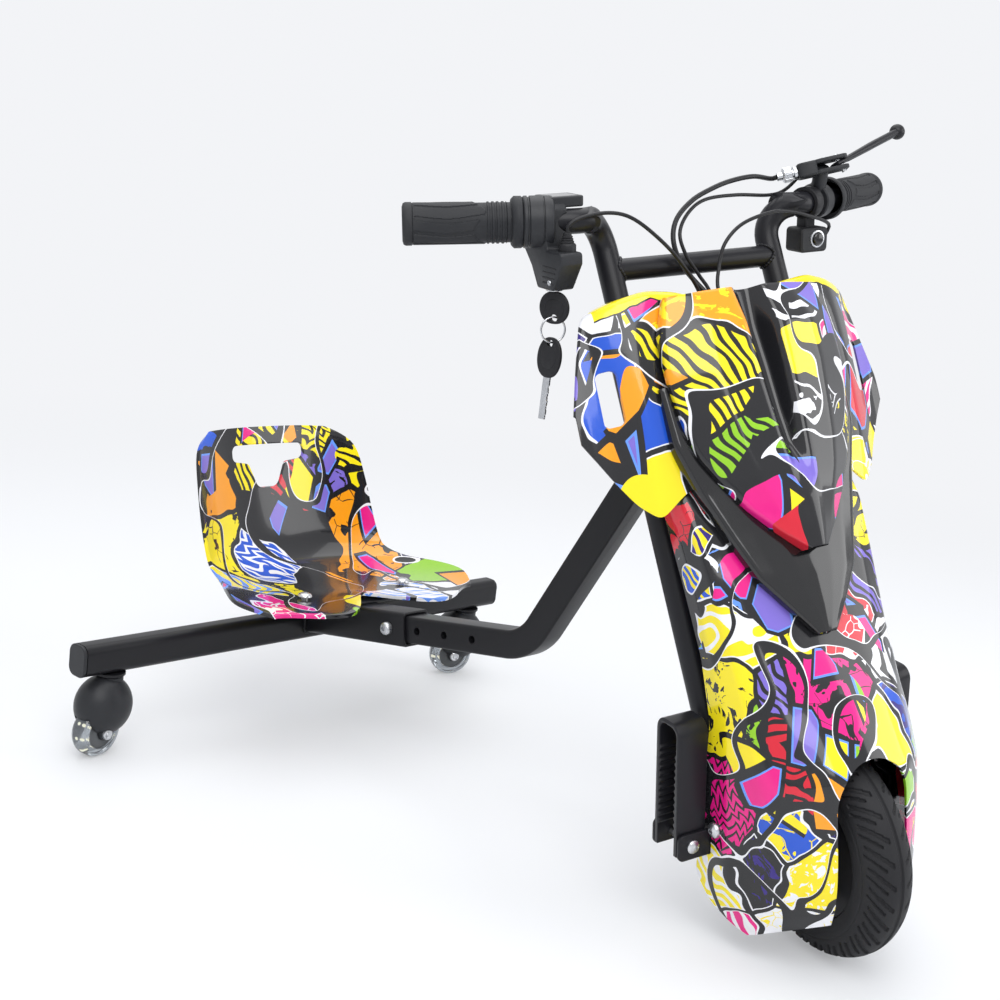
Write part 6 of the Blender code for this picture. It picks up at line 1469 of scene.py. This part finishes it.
rear = {"z": 0.106, "half": 0.3128, "depth": 0.028, "height": 0.034, "corner": 0.0095, "cap": 0.004,
        "tube": 0.030, "sleeve": 0.038, "front": 0.173, "back": 0.030, "lineZ": 0.1166, "pitch": 10.0,
        "riser": 62.0, "bendX": 0.3395, "bendRadius": 0.055, "boltX": 0.149, "hole": 0.0043, "pitchHoles": 0.040,
        "corners": 0.0032}
rigid = {"casterY": 0.271, "radius": 0.027, "width": 0.020, "trail": 0.015, "hood": 0.0325, "hoodDepth": 0.0275,
         "stem": 0.005, "stemPlate": 0.0032, "lug": 0.0078, "lugEnd": 0.0158, "lights": 8,
         "glintLedRows": (-0.0048, 0.0, 0.0048), "glintLedDepth": 0.0100, "turn": {"right": -80.0, "left": -115.0}}


def sleevePoint(ahead):
    return np.array([crossbarX + ahead, 0.0, rear["lineZ"] + ahead * math.tan(math.radians(rear["pitch"]))])


def along(length, angle):
    return np.array([length * math.cos(math.radians(angle)), 0.0, length * math.sin(math.radians(angle))])


def squareTube(name, path, outline):
    # a square outline carried along a path in the middle plane
    path = np.asarray(path, float)
    ahead = np.gradient(path, axis=0)
    ahead /= np.linalg.norm(ahead, axis=1)[:, None]
    over = np.stack([-ahead[:, 2], np.zeros(len(path)), ahead[:, 0]], axis=-1)
    outline = np.asarray(outline, float)
    grid = path[:, None] + outline[None, :, :1] * np.array([0, 1.0, 0]) + outline[None, :, 1:] * over[:, None]
    return tidy(pieceOf(name, grid.reshape(-1, 3), cappedFaces(len(path), len(outline)), "frame", "frame"), 30)


def makeRear():
    outline = roundedBox((rear["depth"], rear["height"]), rear["corner"], 10)
    length = 2 * (rear["half"] - rear["cap"] - clearance)
    mount(plate("crossbar", outline, length, (facingSide, (crossbarX, 0, rear["z"])), "frame", "frame", 0),
          "frame", "rear_crossbar")
    for name, side in (("right", -1), ("left", 1)):
        mount(plate("crossbarCap_" + name, outline, rear["cap"], (facingSide, (crossbarX, side * (rear["half"] - rear[
            "cap"] / 2), rear["z"])), "plastic", "frame", 0.0012), "frame", "crossbar_cap_" + name)
    # the sleeve, cut to the crossbar's face and hollowed
    start, stop = sleevePoint(0.0143), sleevePoint(rear["front"])
    box = roundedBox((rear["sleeve"], rear["sleeve"]), 0.004, 6)
    bore = rear["sleeve"] - 2 * 0.0032
    sleeve = squareTube("seatSleeve", [start, stop], box)
    cutBy(sleeve, squareTube("sleeveBore", [sleevePoint(-0.02), sleevePoint(rear["front"] + 0.02)],
                             roundedBox((bore, bore), 0.002, 4)))
    roundEdges(sleeve, 0.0008, 2, 60)
    settle(sleeve)
    mount(smoothed(sleeve, 35), "frame", "seat_sleeve")
    corner = sleevePoint(rear["bendX"])
    slope, lean = math.radians(rear["riser"]), math.radians(steer["rake"])
    reach = ((axisFoot[0] - corner[0]) * math.cos(lean) - corner[2] * math.sin(lean)) / math.cos(slope - lean)
    path = rounded([sleevePoint(rear["back"]), corner, corner + along(reach, rear["riser"])], [rear["bendRadius"]], 24)
    side = rear["tube"]
    frameTube = squareTube("frameTube", path, roundedBox((side, side), rear["corners"], 6))
    for step in range(1, 4):
        middle = sleevePoint(rear["boltX"] + step * rear["pitchHoles"])
        cutBy(frameTube, tube("adjustHole", [middle - (0, 0.04, 0), middle + (0, 0.04, 0)], rear["hole"], "frame",
                              "frame", 32))
    top = axisFoot + (rakedTurn[:, 2]) * 0.47
    high = axisFoot + (rakedTurn[:, 2]) * 0.66
    cutBy(frameTube, tube("headSeat", [top, high], 0.0172, "frame", "frame", 48))
    smoothed(frameTube, 30)
    mount(frameTube, "frame", "frame_tube")
    # weld bead round the sleeve where it meets the crossbar
    loop = roundedBox((rear["sleeve"] + 0.001, rear["sleeve"] + 0.001), 0.004, 6)
    loopPath = np.array([(crossbarX + rear["depth"] / 2 + 0.0010, y, 0) for y, _ in loop])
    centre = sleevePoint(0.0145)
    loopPath[:, 2] = centre[2] + np.array([z for _, z in loop]) / math.cos(math.radians(rear["pitch"]))
    loopPath = evenly(np.concatenate([loopPath, loopPath[:1]]), 0.0012)[:-1]
    waves = 0.0016 * (1 + 0.2 * np.sin(np.arange(len(loopPath)) * 1.9))
    mount(ringTube("sleeveWeld", loopPath, waves, "frame", "frame"))
    half = rear["sleeve"] / 2 + clearance
    bolt = [(0, half + 0.0046), (0.0024, half + 0.0046), (0.0027, half + 0.0072), (0.0045, half + 0.0070),
            (0.0066, half + 0.0052), (0.0072, half + 0.0030), (0.0072, half), (0.0037, half), (0.0037, -half),
            (0.0090, -half), (0.0090, -half - 0.0012), (0.0072, -half - 0.0014), (0.0072, -half - 0.006),
            (0.0040, -half - 0.0062), (0.0040, -half - 0.009), (0, -half - 0.009)]
    mount(lathe("lengthBolt", bolt, sleevePoint(rear["boltX"]), (0, -1, 0), "alloy", "frame", 48), "frame",
          "length_bolt")
    # seat strap and its bolts
    x = crossbarX + seat["boltX"]
    flat = np.eye(3)
    strap = roundedBox((0.044, 2 * seat["boltY"] + 0.034), 0.008, 8)
    mount(plate("seatStrap", strap, seat["strapWall"], (flat, (x, 0, seat["strapTop"] - seat["strapWall"] / 2)),
                "frame", "frame", 0.0010), "frame", "seat_strap")
    mount(plate("strapPad", roundedBox((0.038, rear["sleeve"] - 0.005), 0.003), 0.0060,
                (flat, (x, 0, seat["strapTop"] - seat["strapWall"] - 0.0022)), "frame", "frame", 0.0006))
    under = seat["strapTop"] - seat["strapWall"] - clearance - seat["panTop"]
    for name, side in (("right", -1), ("left", 1)):
        profile = [(0, 0.0022), (0.0022, 0.0022), (0.0025, 0.0038), (0.0048, 0.0036), (0.0074, 0.0018),
                   (0.0080, 0.0004), (0.0080, 0.0), (0.0037, 0.0), (0.0037, under), (0.0065, under),
                   (0.0065, under - 0.005), (0, under - 0.005)]
        mount(lathe("seatBolt_" + name, profile, (x, side * seat["boltY"], seat["panTop"]), (0, 0, 1), "steel",
                    "frame", 40), "frame", "seat_bolt_" + name)


def makeCaster(name, side):
    body, wheelBody = "caster_" + name, "caster_wheel_" + name
    swivel = np.array([crossbarX, side * rigid["casterY"], 0.0])
    turn = np.array(Matrix.Rotation(math.radians(rigid["turn"][name]), 3, "Z"))
    under = rear["z"] - rear["height"] / 2 - clearance
    plateLow = under - rigid["stemPlate"]
    top = plateLow - 0.0008
    stem = [(0, under), (0.0160, under), (0.0160, plateLow + 0.0006), (0.0154, plateLow), (rigid["stem"], plateLow),
            (rigid["stem"], top - 0.014), (0, top - 0.014)]
    mount(lathe("casterStem_" + name, stem, swivel, (0, 0, 1), "frame", "frame", 48), "frame",
          "caster_stem_" + name)
    # the hood: a flattened ball over the wheel with a lug under each bolt, hollowed for the wheel and trimmed flat
    count = 49
    rows = np.radians(np.linspace(-90, 90, count))
    around = np.linspace(0, math.tau, 97)[:-1]
    grid = np.stack([rigid["hood"] * np.cos(rows)[:, None] * np.cos(around),
                     rigid["hoodDepth"] * np.cos(rows)[:, None] * np.sin(around),
                     rigid["hood"] * np.sin(rows)[:, None] * np.ones(96)], axis=-1)
    centre = np.array([rigid["trail"] * 0.45, 0, top - rigid["hood"] + 0.0012])
    hood = tidy(pieceOf("casterHood_" + name, (grid.reshape(-1, 3) + centre) @ turn.T + swivel,
                        gridFaces(count, 96, wrapAcross=True), "plastic", body))
    collar = lathe("collar", [(0, top - 0.016), (0.014, top - 0.016), (0.014, top - 0.0006), (0.0134, top),
                              (0, top)], swivel, (0, 0, 1), "plastic", body, 64)
    wheelAt = swivel + turn @ np.array([rigid["trail"], 0, rigid["radius"]])
    sideways = turn @ np.array([0, 1.0, 0])
    slot = rigid["width"] / 2 + 0.0008
    lugs = [tube("lug", [wheelAt + sideways * sign * reach for reach in (0.0085, rigid["lugEnd"])], rigid["lug"],
                 "plastic", body, 48) for sign in (-1, 1)]
    for added in [collar] + lugs:
        merge(hood, added, "UNION")
    flat = turn @ np.eye(3)
    for cutter in (
            tube("well", [wheelAt - sideways * slot, wheelAt + sideways * slot], rigid["radius"] + 0.0015, "plastic",
                 body, 72),
            plate("mouth", roundedBox((0.09, 2 * slot), 0.001, 3), 0.04,
                  (flat, swivel + turn @ np.array([rigid["trail"], 0, rigid["radius"] - 0.02])), "plastic", body, 0),
            plate("trim", roundedBox((0.12, 0.12), 0.001, 3), 0.05,
                  (flat, swivel + np.array([0, 0, rigid["radius"] - 0.0315])), "plastic", body, 0),
            plate("crown", roundedBox((0.10, 0.10), 0.001, 3), 0.02, (flat, swivel + np.array([0, 0, top + 0.01])),
                  "plastic", body, 0),
            tube("stemBore", [swivel + (0, 0, top - 0.0145), swivel + (0, 0, top + 0.01)], rigid["stem"] + clearance,
                 "plastic", body, 32)):
        cutBy(hood, cutter)
    roundEdges(hood, 0.0009, 3, 40)
    settle(hood)
    mount(smoothed(hood, 38), body, "caster_hood_" + name)
    reach = rigid["lugEnd"] + 0.0007
    for sign in (-1, 1):
        cap = [(0, 0.0030), (0.0022, 0.0030), (0.0026, 0.0022), (0.0046, 0.0028), (0.0057, 0.0020), (0.0060, 0.0004),
               (0.0060, -0.0006), (0.0038, -0.0006), (0.0038, -reach), (0, -reach)]
        mount(lathe("casterBolt_" + name, cap, wheelAt + sideways * sign * reach, sideways * sign, "steel", body, 40),
              body, "caster_axle_" + name)
    # the clear wheel: a rounded tread on a dark core, with rows of small LEDs under it whose glow is a painted glint
    r, half, tread = rigid["radius"], rigid["width"] / 2, 0.004
    profile = [(r - 0.0095, half - 0.0012), (r - 0.0090, half - 0.0002), (r - tread, half), (r - 0.0022, half - 0.0012),
               (r - 0.0008, half - 0.0034), (r, half - 0.0062), (r, -half + 0.0062), (r - 0.0008, -half + 0.0034),
               (r - 0.0022, -half + 0.0012), (r - tread, -half), (r - 0.0090, -half + 0.0002),
               (r - 0.0095, -half + 0.0012)]
    mount(lathe("casterTread_" + name, profile, wheelAt, sideways, "clear", wheelBody, 96, closed=True), wheelBody,
          "caster_wheel_" + name)
    core = [(0.0042, half - 0.0006), (0.0075, half), (0.0085, half - 0.0008), (0.0110, half - 0.0020),
            (0.0165, half - 0.0022), (r - 0.0097, half - 0.0014), (r - 0.0097, -half + 0.0014),
            (0.0165, -half + 0.0022), (0.0110, -half + 0.0020), (0.0085, -half + 0.0008), (0.0075, -half),
            (0.0042, -half + 0.0006)]
    mount(lathe("casterCore_" + name, core, wheelAt, sideways, "core", wheelBody, 64, closed=True))
    turnWheel, _ = axisFrame(wheelAt, sideways)
    # LEDs that glow as painted glints in the clear tread
    for step in range(rigid["lights"]):
        angle = math.tau * step / rigid["lights"] + 0.3
        outward = turnWheel @ np.array([math.cos(angle), math.sin(angle), 0.0])
        for aside in rigid["glintLedRows"]:
            spot = wheelAt + outward * (r - rigid["glintLedDepth"]) + sideways * aside
            mount(lathe("casterLight_" + name, [(0, 0.0012), (0.0013, 0.0009), (0.0018, 0.0), (0.0013, -0.0006),
                                                (0, -0.0006)], spot, outward, "ledGlint", wheelBody, 16))


makeRear()
for casterName, casterSide in (("right", -1), ("left", 1)):
    makeCaster(casterName, casterSide)
dress("frame", "head_tube", "fork_crown", "upper_yoke", "brake_plate")
dress("steel", "head_bearing_upper", "head_bearing_lower", "steerer")
dress("wrap", "battery_pack")
dress("alloy", "controller")
print("rear frame made")


# Floor, light and camera

stage = {"half": 12, "white": (0.895, 0.905, 0.930, 1.0), "air": (0.92, 0.95, 1.0, 1.0), "airPower": 0.55,
         "whiteFrom": 0.7, "whiteTo": 2.6, "whiteNear": 0.35}
# each lamp's place, what it points at, its two sizes and its power
lamps = {
    "keyLight": ((1.6, -1.5, 2.6), (0.1, 0, 0.3), (2.2, 2.2), 62.0),
    "fillLight": ((2.4, 1.6, 1.5), (0.1, 0, 0.35), (1.8, 1.8), 26.0),
    "topLight": ((-0.6, 0.2, 3.0), (0, 0, 0.2), (3.0, 3.0), 50.0),
}
view = {"lens": 55.81, "sensor": 36.0, "near": 0.05, "place": (0.95975, -1.18482, 0.63421),
        "ahead": (-0.641911, 0.740184, -0.200195), "right": (0.734322, 0.668575, 0.117383)}


def makeStage():
    # the camera sees part of the floor as an even white, and all of it far away, so that it meets the backdrop
    floorPaint = Paint("floorWhite", (0.86, 0.87, 0.885), 0.55)
    floorPaint.put("Roughness", floorPaint.noise(3.0, 2.0) * 0.06 + 0.52)
    far = floorPaint.vector("LENGTH", floorPaint.place(), out="Value")
    far = far.eased(stage["whiteFrom"], stage["whiteTo"], stage["whiteNear"], 1.0)
    seen = floorPaint.node("LightPath", out="Is Camera Ray").maths("MULTIPLY", far)
    white = floorPaint.node("Emission", None, {"Color": stage["white"], "Strength": 1.0})
    mixed = floorPaint.node("MixShader", None, {0: seen, 1: Link(floorPaint, floorPaint.shader.outputs[0]), 2: white})
    floorPaint.join(floorPaint.tree.nodes["Material Output"].inputs[0], mixed)
    mesh = bpy.data.meshes.new("studioFloor")
    corners = [(x * stage["half"], y * stage["half"], 0) for x, y in ((-1, -1), (1, -1), (1, 1), (-1, 1))]
    mesh.from_pydata(corners, [], [(0, 1, 2, 3)])
    mesh.materials.append(floorPaint.material)
    floor = bpy.data.objects.new("studioFloor", mesh)
    bpy.context.scene.collection.objects.link(floor)


def lamp(name, at, target, size, power):
    data = bpy.data.lights.new(name, "AREA")
    data.shape = "RECTANGLE"
    data.size, data.size_y = size
    data.energy = power
    lit = bpy.data.objects.new(name, data)
    lit.location = at
    lit.rotation_euler = (Vector(target) - Vector(at)).to_track_quat("-Z", "Y").to_euler()
    bpy.context.scene.collection.objects.link(lit)


def makeLight():
    for name, settings in lamps.items():
        lamp(name, *settings)
    world = bpy.data.worlds.new("studioAir")
    bpy.context.scene.world = world
    world.use_nodes = True
    tree = world.node_tree
    tree.nodes.clear()
    room = tree.nodes.new("ShaderNodeBackground")
    room.inputs[0].default_value = stage["air"]
    room.inputs[1].default_value = stage["airPower"]
    white = tree.nodes.new("ShaderNodeBackground")
    white.inputs[0].default_value = stage["white"]
    white.inputs[1].default_value = 1.0
    seen = tree.nodes.new("ShaderNodeLightPath")
    mixed = tree.nodes.new("ShaderNodeMixShader")
    out = tree.nodes.new("ShaderNodeOutputWorld")
    glossy = tree.nodes.new("ShaderNodeMath")
    glossy.operation = "MAXIMUM"
    clear = tree.nodes.new("ShaderNodeMath")
    clear.operation = "MAXIMUM"
    tree.links.new(seen.outputs["Is Camera Ray"], glossy.inputs[0])
    tree.links.new(seen.outputs["Is Glossy Ray"], glossy.inputs[1])
    tree.links.new(glossy.outputs[0], clear.inputs[0])
    tree.links.new(seen.outputs["Is Transmission Ray"], clear.inputs[1])
    tree.links.new(clear.outputs[0], mixed.inputs[0])
    tree.links.new(room.outputs[0], mixed.inputs[1])
    tree.links.new(white.outputs[0], mixed.inputs[2])
    tree.links.new(mixed.outputs[0], out.inputs[0])


def makeCamera():
    data = bpy.data.cameras.new("photoCamera")
    data.sensor_width = view["sensor"]
    data.lens = view["lens"]
    data.clip_start = view["near"]
    camera = bpy.data.objects.new("photoCamera", data)
    ahead = Vector(view["ahead"]).normalized()
    right = Vector(view["right"]).normalized()
    over = right.cross(ahead)
    turn = Matrix((right, over, -ahead)).transposed().to_4x4()
    turn.translation = view["place"]
    camera.matrix_world = turn
    bpy.context.scene.collection.objects.link(camera)
    bpy.context.scene.camera = camera
    bpy.context.scene.view_settings.view_transform = "Standard"


makeStage()
makeLight()
makeCamera()
print("stage made")
